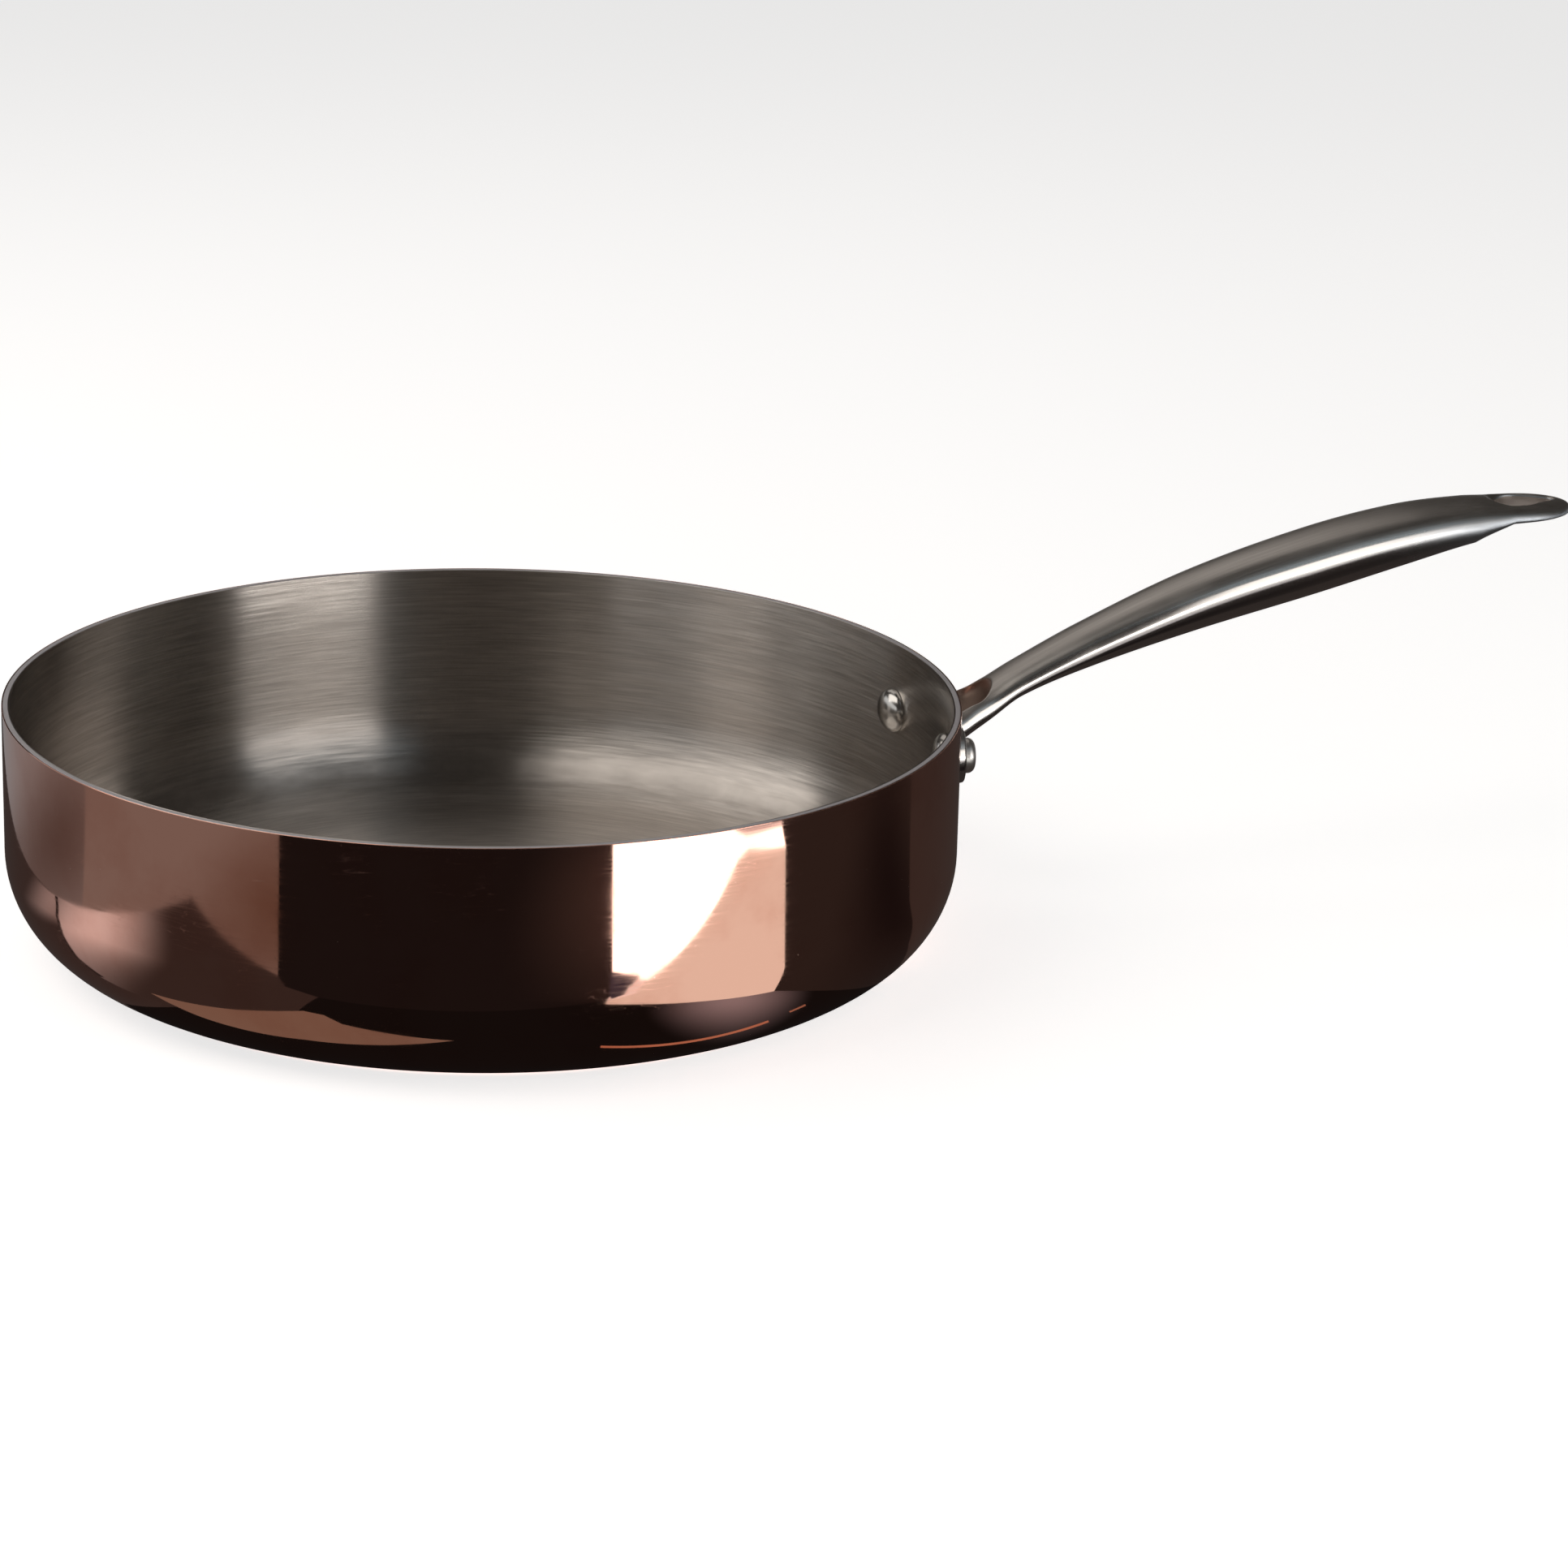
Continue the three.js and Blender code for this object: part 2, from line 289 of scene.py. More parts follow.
def extend(bm, ring, places):
    """Extrude a closed ring of points and move the new ring to its places."""
    made = bmesh.ops.extrude_edge_only(bm, edges=ring_edges(bm, ring))["geom"]
    fresh = {item for item in made if isinstance(item, bmesh.types.BMVert)}
    grown = []
    for vert, place in zip(ring, places):
        partner = next(edge.other_vert(vert) for edge in vert.link_edges if edge.other_vert(vert) in fresh)
        partner.co = place
        grown.append(partner)
    return grown


def first_ring(bm, places):
    """A closed ring of points to start a loft from."""
    ring = bmesh.ops.create_circle(bm, cap_ends=False, segments=len(places), radius=1.0)["verts"]
    ring.sort(key=lambda vert: math.atan2(vert.co.y, vert.co.x) % math.tau)
    for vert, place in zip(ring, places):
        vert.co = place
    return ring


def eased(share):
    """A share from 0 to 1 that starts and ends gently."""
    share = min(max(share, 0.0), 1.0)
    return share * share * (3 - 2 * share)


# Node helpers

NUMBER = "NodeSocketFloat"
VECTOR = "NodeSocketVector"


def add_node(tree, kind, inputs=None, **settings):
    """A node with its settings, whose inputs are numbers or other nodes' outputs."""
    node = tree.nodes.new(kind)
    for name, value in settings.items():
        setattr(node, name, value)
    for name, value in (inputs or {}).items():
        if isinstance(value, bpy.types.NodeSocket):
            tree.links.new(value, node.inputs[name])
        else:
            node.inputs[name].default_value = value
    return node


def maths(tree, operation, first, second=0.0):
    """The result of one operation on two numbers."""
    return add_node(tree, "ShaderNodeMath", {0: first, 1: second}, operation=operation).outputs[0]


def plus(tree, first, second):
    """The sum of two numbers."""
    return maths(tree, "ADD", first, second)


def minus(tree, first, second):
    """The difference of two numbers."""
    return maths(tree, "SUBTRACT", first, second)


def times(tree, first, second):
    """The product of two numbers."""
    return maths(tree, "MULTIPLY", first, second)


def larger(tree, first, second):
    """The larger of two numbers."""
    return maths(tree, "MAXIMUM", first, second)


def vector_maths(tree, operation, first, second=(0.0, 0.0, 0.0), output="Vector"):
    """The result of one operation on two vectors."""
    node = add_node(tree, "ShaderNodeVectorMath", {0: first, 1: second}, operation=operation)
    return node.outputs[output]


def length_of(tree, vector):
    """The length of a vector."""
    return vector_maths(tree, "LENGTH", vector, output="Value")


def parts_of(tree, vector):
    """The X, Y and Z of a vector."""
    return add_node(tree, "ShaderNodeSeparateXYZ", {0: vector}).outputs


def joined(tree, x, y, z=0.0):
    """A vector made of three numbers."""
    return add_node(tree, "ShaderNodeCombineXYZ", {"X": x, "Y": y, "Z": z}).outputs[0]


def noise(tree, vector, scale, detail=2.0, roughness=0.5):
    """Cloudy noise between 0 and 1."""
    node = add_node(
        tree, "ShaderNodeTexNoise",
        {"Vector": vector, "Scale": scale, "Detail": detail, "Roughness": roughness},
    )
    return node.outputs[0]


def ranged(tree, value, low, high, first=0.0, last=1.0):
    """A value stretched from low..high to first..last, with soft ends."""
    node = add_node(
        tree, "ShaderNodeMapRange",
        {"Value": value, "From Min": low, "From Max": high, "To Min": first, "To Max": last},
        interpolation_type="SMOOTHSTEP",
    )
    return node.outputs[0]


def blend(tree, share, first, second):
    """A colour between two colours."""
    node = add_node(tree, "ShaderNodeMix", {"Factor": share, 6: first, 7: second}, data_type="RGBA")
    return node.outputs[2]


def opaque(rgb, share=1.0):
    """A colour with full alpha, darkened to a share of itself."""
    return (*(share * part for part in rgb), 1.0)


def object_place(tree):
    """Where a point lies in the pan's own frame."""
    return add_node(tree, "ShaderNodeTexCoord").outputs["Object"]


def surface_normal(tree):
    """The way that the surface faces."""
    return add_node(tree, "ShaderNodeNewGeometry").outputs["Normal"]


def new_group(name, inputs, outputs):
    """An empty shader group with number inputs and typed outputs, and its two ends."""
    group = bpy.data.node_groups.new(name, "ShaderNodeTree")
    for title, default in inputs.items():
        socket = group.interface.new_socket(title, in_out="INPUT", socket_type=NUMBER)
        socket.default_value = default
    for title, kind in outputs.items():
        group.interface.new_socket(title, in_out="OUTPUT", socket_type=kind)
    return group, group.nodes.new("NodeGroupInput").outputs, group.nodes.new("NodeGroupOutput").inputs


def use_group(tree, build, **inputs):
    """The outputs of a shader group placed in a material. Its first use builds the group."""
    name = build.__name__.replace("_", " ")
    group = bpy.data.node_groups.get(name) or build(name)
    values = {title.replace("_", " "): value for title, value in inputs.items()}
    return add_node(tree, "ShaderNodeGroup", values, node_tree=group).outputs


def turned_lines(name):
    """Tool lines round the pan's axis, fine and broad, and a normal tilted across hair-fine ones."""
    tree, given, result = new_group(
        name, {"fine pitch": 2400.0, "broad pitch": 420.0, "hair pitch": 3000.0, "turns": 4.0, "tilt": 0.0},
        {"fine": NUMBER, "broad": NUMBER, "normal": VECTOR},
    )
    parts = parts_of(tree, object_place(tree))
    from_axis = joined(tree, parts["X"], parts["Y"])
    across = minus(tree, parts["Z"], length_of(tree, from_axis))
    heading = vector_maths(tree, "NORMALIZE", from_axis)
    heading_parts = parts_of(tree, heading)

    def lines(pitch):
        east = times(tree, heading_parts["X"], given["turns"])
        north = times(tree, heading_parts["Y"], given["turns"])
        return noise(tree, joined(tree, east, north, times(tree, across, given[pitch])), 1.0, 3.0, 0.6)

    tree.links.new(lines("fine pitch"), result["fine"])
    tree.links.new(lines("broad pitch"), result["broad"])
    normal = surface_normal(tree)
    around = vector_maths(tree, "CROSS_PRODUCT", (0.0, 0.0, 1.0), heading)
    uphill = vector_maths(tree, "CROSS_PRODUCT", around, normal)
    slope = times(tree, minus(tree, lines("hair pitch"), 0.5), given["tilt"])
    tilted = vector_maths(tree, "ADD", normal, vector_maths(tree, "MULTIPLY", uphill, slope))
    tree.links.new(vector_maths(tree, "NORMALIZE", tilted), result["normal"])
    return tree


def handling_marks(name):
    """Faint smudges, hair scratches and specks of dust."""
    tree, given, result = new_group(
        name, {"smudge scale": 28.0, "scratch scale": 60.0, "speck scale": 420.0},
        {"smudges": NUMBER, "scratches": NUMBER, "specks": NUMBER},
    )
    place = object_place(tree)
    clouds = noise(tree, place, given["smudge scale"], 4.0, 0.6)
    tree.links.new(ranged(tree, clouds, 0.42, 0.72), result["smudges"])
    stretched = vector_maths(tree, "MULTIPLY", place, (1.0, 0.8, 7.0))
    contour = noise(tree, stretched, given["scratch scale"], 1.0)
    off_line = maths(tree, "ABSOLUTE", minus(tree, contour, 0.5))
    where = ranged(tree, noise(tree, place, given["smudge scale"]), 0.52, 0.62)
    hairs = ranged(tree, off_line, 0.0, 0.006, 1.0, 0.0)
    tree.links.new(times(tree, hairs, where), result["scratches"])
    cells = add_node(tree, "ShaderNodeTexVoronoi", {"Vector": place, "Scale": given["speck scale"]}).outputs
    cell_shade = add_node(tree, "ShaderNodeSeparateColor", {0: cells["Color"]}).outputs[0]
    chosen = maths(tree, "GREATER_THAN", cell_shade, 0.91)
    dots = ranged(tree, cells["Distance"], 0.03, 0.09, 1.0, 0.0)
    tree.links.new(times(tree, dots, chosen), result["specks"])
    return tree


def empty_material(name):
    """A material without nodes, and its tree."""
    material = bpy.data.materials.new(name)
    material.use_nodes = True
    material.node_tree.nodes.clear()
    return material, material.node_tree


def new_metal(name):
    """A material with only its output and a metal shader."""
    material, tree = empty_material(name)
    metal = add_node(tree, "ShaderNodeBsdfPrincipled", {"Metallic": 1.0})
    add_node(tree, "ShaderNodeOutputMaterial", {"Surface": metal.outputs[0]})
    return material, tree, metal


def connect(tree, metal, **inputs):
    """Feed the metal shader's sockets."""
    for title, value in inputs.items():
        tree.links.new(value, metal.inputs[title.replace("_", " ")])


def bumped(tree, height, distance):
    """A normal disturbed by a height between 0 and 1 over a distance."""
    node = add_node(tree, "ShaderNodeBump", {"Height": height, "Distance": distance, "Strength": 1.0})
    return node.outputs[0]


# Finishes

STAIN_TINT = (0.86, 0.74, 0.70)
DUST_COLOUR = (0.70, 0.60, 0.55)


def polished_copper(settings):
    """Mirror copper with slow waves, faint turned lines, stains and dust."""
    material, tree, metal = new_metal("polished_copper")
    lines = use_group(tree, turned_lines, fine_pitch=1500.0, broad_pitch=260.0, turns=3.0)
    marks = use_group(tree, handling_marks, smudge_scale=34.0, speck_scale=330.0)
    stained = [share * part for share, part in zip(STAIN_TINT, settings.copper)]
    body = blend(tree, times(tree, marks["smudges"], 0.55), opaque(settings.copper), opaque(stained))
    dusty = blend(tree, times(tree, marks["specks"], 0.4), body, opaque(DUST_COLOUR))
    grain = ranged(tree, lines["fine"], 0.3, 0.75, 0.03, 0.075)
    haze = times(tree, marks["smudges"], 0.035)
    wear = times(tree, marks["scratches"], 0.16)
    dust = times(tree, marks["specks"], 0.22)
    rough = plus(tree, plus(tree, grain, haze), plus(tree, wear, dust))
    waves = noise(tree, object_place(tree), 30.0)
    height = plus(tree, waves, times(tree, lines["broad"], 0.012))
    connect(tree, metal, Base_Color=dusty, Roughness=rough, Normal=bumped(tree, height, 0.035 * MM))
    return material


def ground_aluminium(settings):
    """The cut rim: satin, with lines round the edge."""
    material, tree, metal = new_metal("ground_aluminium")
    lines = use_group(tree, turned_lines, fine_pitch=3600.0, broad_pitch=900.0, turns=6.0)
    marks = use_group(tree, handling_marks)
    body = blend(tree, lines["broad"], opaque(settings.aluminium), opaque(settings.aluminium, 0.86))
    grain = ranged(tree, lines["fine"], 0.3, 0.7, 0.48, 0.58)
    rough = plus(tree, grain, times(tree, marks["scratches"], 0.1))
    connect(tree, metal, Base_Color=body, Roughness=rough, Normal=bumped(tree, lines["fine"], 0.004 * MM))
    return material


def brushed_steel(settings):
    """The lining: brushed in circles, so that highlights stretch across the lines and keep sharp sides."""
    material, tree, metal = new_metal("brushed_steel")
    lines = use_group(tree, turned_lines, fine_pitch=1900.0, broad_pitch=800.0, turns=6.0, tilt=0.5)
    marks = use_group(tree, handling_marks, smudge_scale=22.0)
    fine, broad = (ranged(tree, lines[title], 0.3, 0.7) for title in ("fine", "broad"))
    streaks = times(tree, plus(tree, fine, broad), 0.5)
    body = blend(tree, streaks, opaque(settings.steel), opaque(settings.steel, 0.72))
    rough = ranged(tree, marks["smudges"], 0.0, 1.0, 0.28, 0.31)
    metal.inputs["Anisotropic"].default_value = 1.0
    metal.inputs["Anisotropic Rotation"].default_value = 0.25
    tangent = add_node(tree, "ShaderNodeTangent", direction_type="RADIAL", axis="Z").outputs[0]
    connect(tree, metal, Base_Color=body, Roughness=rough, Tangent=tangent, Normal=lines["normal"])
    return material


def scoop_mask(tree, settings, reach, aside):
    """1 in the root's hollow: a half ellipse round its nose, and all of its width behind that."""
    past_nose = minus(tree, reach, settings.scoop_reach - settings.scoop_nose)
    along_nose = maths(tree, "DIVIDE", larger(tree, past_nose, 0.0), settings.scoop_nose)
    off_middle = plus(tree, maths(tree, "POWER", aside, 2.0), maths(tree, "POWER", along_nose, 2.0))
    return maths(tree, "LESS_THAN", off_middle, 1.12)


def slot_mask(tree, settings, reach, aside, facing):
    """1 on the steep sides of the hanging slot."""
    start = settings.slot_reach - settings.slot_width / 2 - settings.slot_run_in
    end = settings.slot_reach + settings.slot_span + settings.slot_tip_width / 2 + settings.slot_lip
    along = times(tree, maths(tree, "GREATER_THAN", reach, start), maths(tree, "LESS_THAN", reach, end))
    slope = ranged(tree, reach, start, settings.slot_reach, 0.9, 0.15)
    steep = times(tree, maths(tree, "LESS_THAN", facing, slope), maths(tree, "LESS_THAN", aside, 1.0))
    return times(tree, along, steep)


def lines_along_handle(tree, reach, parts):
    """Fine lines that follow the handle's arch."""
    bend = times(tree, reach, minus(tree, ARCH_SLOPE, times(tree, reach, ARCH_FALL)))
    across = times(tree, parts["Y"], 1500.0)
    up = times(tree, minus(tree, parts["Z"], bend), 1500.0)
    return noise(tree, joined(tree, times(tree, reach, 22.0), across, up), 1.0, 3.0, 0.6)


def cast_steel(settings):
    """The handle: satin and finely lined on top, polished on the sides, dull and grainy in its hollows; a
    painted cool, darker reflection colours the sides near the tip, and a painted copper reflection and
    painted shade colour the root's hollow.
    """
    material, tree, metal = new_metal("cast_steel")
    place = object_place(tree)
    parts = parts_of(tree, place)
    reach = minus(tree, parts["X"], SHELL_RADIUS)
    lines = lines_along_handle(tree, reach, parts)
    marks = use_group(tree, handling_marks, smudge_scale=45.0)
    facing = parts_of(tree, surface_normal(tree))["Z"]
    on_top = ranged(tree, facing, 0.25, 0.8)
    near_tip = ranged(tree, reach, 0.12, 0.19)
    satin = larger(tree, on_top, near_tip)
    # The sides near the tip: a painted cool, darker reflection in their colour, and a little more roughness
    flank = times(tree, near_tip, minus(tree, 1.0, on_top))
    aside = maths(tree, "DIVIDE", maths(tree, "ABSOLUTE", parts["Y"]), settings.scoop_width / 2)
    in_scoop = scoop_mask(tree, settings, reach, aside)
    in_slot = slot_mask(tree, settings, reach, aside, facing)
    hollow = larger(tree, in_scoop, in_slot)

    lined = blend(tree, times(tree, lines, satin), opaque(settings.steel), opaque(settings.steel, 0.72))
    sided = blend(tree, flank, lined, opaque(settings.flank))
    # The root's hollow takes a painted copper reflection and painted shade in its dark reddish colour; the
    # slot takes its unpolished steel colour
    body = blend(tree, in_slot, blend(tree, in_scoop, sided, opaque(settings.scoop)), opaque(settings.slot))
    finish = plus(tree, ranged(tree, satin, 0.0, 1.0, 0.14, 0.36), times(tree, flank, 0.06))
    grain = times(tree, ranged(tree, lines, 0.3, 0.7, -0.03, 0.05), satin)
    worked = plus(tree, plus(tree, finish, grain), times(tree, marks["smudges"], 0.05))
    rough = larger(tree, worked, times(tree, hollow, 0.5))
    drawn = times(tree, lines, ranged(tree, satin, 0.0, 1.0, 0.15, 1.0))
    pitted = times(tree, noise(tree, place, 1800.0, 3.0), hollow)
    height = plus(tree, drawn, pitted)
    connect(tree, metal, Base_Color=body, Roughness=rough, Normal=bumped(tree, height, 0.02 * MM))
    return material


def polished_steel(settings):
    """The rivets: polished domes inside, finely pitted satin heads outside."""
    material, tree, metal = new_metal("polished_steel")
    place = object_place(tree)
    marks = use_group(tree, handling_marks, smudge_scale=180.0, scratch_scale=240.0, speck_scale=1500.0)
    parts = parts_of(tree, place)
    radius = length_of(tree, joined(tree, parts["X"], parts["Y"]))
    outside = maths(tree, "GREATER_THAN", radius, SHELL_RADIUS)
    body = blend(
        tree, times(tree, marks["smudges"], 0.5), opaque(settings.steel), opaque(settings.steel, 0.85)
    )
    finish = ranged(tree, outside, 0.0, 1.0, 0.20, 0.36)
    rough = plus(tree, finish, times(tree, marks["smudges"], 0.03))
    pits = times(tree, noise(tree, place, 2600.0, 3.0), outside)
    connect(tree, metal, Base_Color=body, Roughness=rough, Normal=bumped(tree, pits, 0.003 * MM))
    return material


# Vessel

# Length of the drill for the rivet holes, and the room for plain faces above and below a hole
DRILL_LENGTH = 36 * MM
DRILL_ROOM = 1.2 * MM


def rivet_axis(side):
    """Where a rivet's own upright axis goes: outwards through the wall."""
    angle = math.asin(bpy.context.scene.pan_rivets.spacing / 2 / SHELL_RADIUS)
    lift = Matrix.Translation((0.0, 0.0, RIVET_HEIGHT))
    return lift @ Matrix.Rotation(side * angle, 4, "Z") @ Matrix.Rotation(math.pi / 2, 4, "Y")


def rivet_hole_cutter():
    """Two round bars that pass through the wall where the rivets go."""
    rivets = bpy.context.scene.pan_rivets
    radius = rivets.shank_diameter / 2 + rivets.hole_gap
    bm = bmesh.new()
    for side in (1, -1):
        bmesh.ops.create_cone(
            bm, cap_ends=True, segments=HOLE_SIDES, radius1=radius, radius2=radius, depth=DRILL_LENGTH,
            matrix=rivet_axis(side) @ Matrix.Translation((0.0, 0.0, SHELL_RADIUS)),
        )
    return link_piece("rivet_holes", bm)


def build_layer(name, radius, thickness):
    """One bonded layer of the vessel, turned from its half section and drilled for the rivets."""
    vessel = bpy.context.scene.pan_vessel
    depth = SHELL_RADIUS - radius
    bm = bmesh.new()
    chain = wire(bm, (
        (0.0, depth), (radius, depth), (radius, RIM_HEIGHT),
        (radius - thickness, RIM_HEIGHT), (radius - thickness, depth + thickness), (0.0, depth + thickness),
    ))
    outer_corner = vessel.corner_radius - depth
    round_corner(bm, chain[1], outer_corner, CORNER_SEGMENTS)
    round_corner(bm, chain[4], outer_corner - thickness, CORNER_SEGMENTS)
    for rim_corner in chain[2:4]:
        round_corner(bm, rim_corner, vessel.rim_rounding, RIM_SEGMENTS)
    turn(bm, TURN_STEPS)
    rivets = bpy.context.scene.pan_rivets
    band = rivets.shank_diameter / 2 + DRILL_ROOM
    for height in (RIVET_HEIGHT - band, RIVET_HEIGHT + band):
        bmesh.ops.bisect_plane(
            bm, geom=bm.verts[:] + bm.edges[:] + bm.faces[:],
            plane_co=(0.0, 0.0, height), plane_no=(0, 0, 1),
        )
    piece = link_piece(name, bm)
    cut(piece, rivet_hole_cutter())
    shade(piece, VESSEL_CREASE)
    return piece


class PAN_OT_copper_shell(Operator):
    """Turn the polished copper shell, the outside of the vessel"""

    bl_idname = "pan.copper_shell"
    bl_label = "Copper Shell"

    def execute(self, context):
        vessel = context.scene.pan_vessel
        piece = build_layer("polished_shell", SHELL_RADIUS, vessel.shell_thickness)
        deliver(piece, "copper_shell", polished_copper(vessel))
        return {"FINISHED"}


class PAN_OT_aluminium_core(Operator):
    """Turn the aluminium core, which shows as the ground rim"""

    bl_idname = "pan.aluminium_core"
    bl_label = "Aluminium Core"

    def execute(self, context):
        vessel = context.scene.pan_vessel
        piece = build_layer("bonded_core", CORE_RADIUS, vessel.core_thickness)
        deliver(piece, "aluminium_core", ground_aluminium(vessel))
        return {"FINISHED"}


class PAN_OT_steel_lining(Operator):
    """Turn the brushed steel lining, the inside of the vessel"""

    bl_idname = "pan.steel_lining"
    bl_label = "Steel Lining"

    def execute(self, context):
        vessel = context.scene.pan_vessel
        piece = build_layer("brushed_inside", LINING_RADIUS, vessel.lining_thickness)
        deliver(piece, "steel_lining", brushed_steel(vessel))
        return {"FINISHED"}


# Handle

# Stations from the wall to the tip: reach, rise of the top above the rivets' line, thickness and width in
# millimetres, and how much of the thickness lies above the widest line
STATIONS = (
    (-9.0, 0.0, 12.0, 44.5, 0.50),
    (0.0, 5.55, 12.0, 28.0, 0.56),
    (9.0, 11.4, 12.0, 22.5, 0.62),
    (16.0, 14.6, 10.8, 19.6, 0.66),
    (26.0, 20.3, 10.0, 17.9, 0.66),
    (48.0, 31.15, 13.3, 19.2, 0.58),
    (83.0, 45.35, 18.0, 23.2, 0.48),
    (123.0, 56.8, 19.9, 27.2, 0.44),
    (153.0, 62.5, 17.8, 28.0, 0.45),
    (175.0, 64.05, 13.6, 26.6, 0.52),
    (187.0, 63.65, 6.9, 25.0, 0.66),
    (TIP_REACH / MM, 63.1, 5.0, 25.0, 0.70),
)
RISE, THICKNESS, WIDTH, CROWN = 1, 2, 3, 4
KEEL, TONGUE = 9, 10
KEEL_REACH = STATIONS[KEEL][0] * MM
TONGUE_REACH = STATIONS[TONGUE][0] * MM

# Exponents of a section's upper and lower half: 2 draws an ellipse, and more is fuller
CROWN_FULLNESS = 2.3
BELLY_FULLNESS = 2.0

# The root follows the round of the wall up to the first reach, and no longer from the second one on
HUG_START = 3 * MM
HUG_END = 12 * MM

# How far round each side of the plate's outline an ear is drawn
EAR_SPREAD = math.radians(42)

# The arch that the lines on the handle follow: they rise by reach * (ARCH_SLOPE - reach * ARCH_FALL) metres
ARCH_SLOPE = 0.5584
ARCH_FALL = 1.284

# The most of the plate's face that the fillet may take, and the rings that close the plate's back
FILLET_SHARE = 0.45
BACK_RINGS = (0.75, 0.5, 0.25)

# Softened edges: degrees of the arc, and its tangent's run as a share of the radius
LIP_SWINGS = (0, 15, 30, 45, 60, 75)
LIP_RUN = 0.5

# Cutters: how far they stand clear of the handle, and where and how finely the scoop is drawn
CUT_CLEARANCE = 12 * MM
SCOOP_BACK = -4 * MM
SCOOP_POINTS = 24
BOWL_STEPS = 9


def smooth_through(stations, reach, column):
    """A value at a reach, on a smooth curve through the stations' values."""
    last = len(stations) - 1

    def slope(index):
        before = stations[max(index - 1, 0)]
        after = stations[min(index + 1, last)]
        return (after[column] - before[column]) / (after[0] - before[0])

    start = 0
    while start < last - 1 and stations[start + 1][0] * MM <= reach:
        start += 1
    first, second = stations[start], stations[start + 1]
    span = second[0] - first[0]
    t = (reach / MM - first[0]) / span
    value = (
        (2 * t ** 3 - 3 * t ** 2 + 1) * first[column]
        + (t ** 3 - 2 * t ** 2 + t) * span * slope(start)
        + (3 * t ** 2 - 2 * t ** 3) * second[column]
        + (t ** 3 - t ** 2) * span * slope(start + 1)
    )
    return value * MM


def thickness_at(reach):
    """Thickness at a reach, with the straight cut between the keel and the tongue."""
    if reach < KEEL_REACH:
        return smooth_through(STATIONS[:KEEL + 1], reach, THICKNESS)
    if reach < TONGUE_REACH:
        return smooth_through(STATIONS[KEEL:TONGUE + 1], reach, THICKNESS)
    return smooth_through(STATIONS[TONGUE:], reach, THICKNESS)


def section_at(reach):
    """Half width, height of the widest line above the rivets' line, crown and belly of a section."""
    thickness = thickness_at(reach)
    share = smooth_through(STATIONS, reach, CROWN) / MM
    widest = smooth_through(STATIONS, reach, RISE) - share * thickness
    rounding = bpy.context.scene.pan_handle.tip_rounding
    along_nose = min(max((reach - TIP_REACH) / rounding + 1, 0.0), 1.0)
    narrowing = math.sqrt(1 - along_nose ** 2)
    thinning = math.sqrt(narrowing)
    half_width = smooth_through(STATIONS, reach, WIDTH) / 2 * narrowing
    crown = share * thickness * thinning
    return half_width, widest, crown, thickness * thinning - crown


def power(value, exponent):
    """A power that keeps the sign."""
    return math.copysign(abs(value) ** exponent, value)


def section_point(reach, angle):
    """Across and up of a point on the section at a reach."""
    half_width, widest, crown, belly = section_at(reach)
    across, up = math.cos(angle), math.sin(angle)
    exponent = 2 / (CROWN_FULLNESS if up >= 0 else BELLY_FULLNESS)
    depth = crown if up >= 0 else belly
    return half_width * power(across, exponent), widest + depth * power(up, exponent)


def surface_height(reach, across, side):
    """Height above the rivets' line of the handle's top (side 1) or underside (side -1)."""
    half_width, widest, crown, belly = section_at(reach)
    fullness = CROWN_FULLNESS if side > 0 else BELLY_FULLNESS
    depth = crown if side > 0 else belly
    inside = max(1 - (abs(across) / half_width) ** fullness, 0.0)
    return widest + side * depth * inside ** (1 / fullness)


def on_wall(reach, across, up):
    """A point of the handle in the pan's frame, where the root follows the round of the wall."""
    radius = SHELL_RADIUS + reach
    sagitta = radius - math.sqrt(radius ** 2 - across ** 2)
    hug = 1 - eased((reach - HUG_START) / (HUG_END - HUG_START))
    return Vector((radius - hug * sagitta, across, RIVET_HEIGHT + up))


def ring_angles():
    """Angles of the points of one section."""
    return [math.tau * index / RING_POINTS for index in range(RING_POINTS)]


def flange_point(angle, inset):
    """Across and up of the plate's outline less an inset: an ear round each rivet and a curve between."""
    handle = bpy.context.scene.pan_handle
    ear_place = bpy.context.scene.pan_rivets.spacing / 2
    ear = handle.ear_radius - inset
    side = math.copysign(1.0, math.cos(angle))
    up = math.copysign(1.0, math.sin(angle))
    from_side = abs(math.asin(math.sin(angle)))
    if from_side <= EAR_SPREAD:
        round_ear = from_side / EAR_SPREAD * math.pi / 2
        return side * (ear_place + ear * math.cos(round_ear)), up * ear * math.sin(round_ear)
    share = (math.pi / 2 - from_side) / (math.pi / 2 - EAR_SPREAD)
    middle = (handle.flange_peak if up > 0 else handle.flange_dip) - inset
    return side * ear_place * share, up * (middle + (ear - middle) * share ** 2)


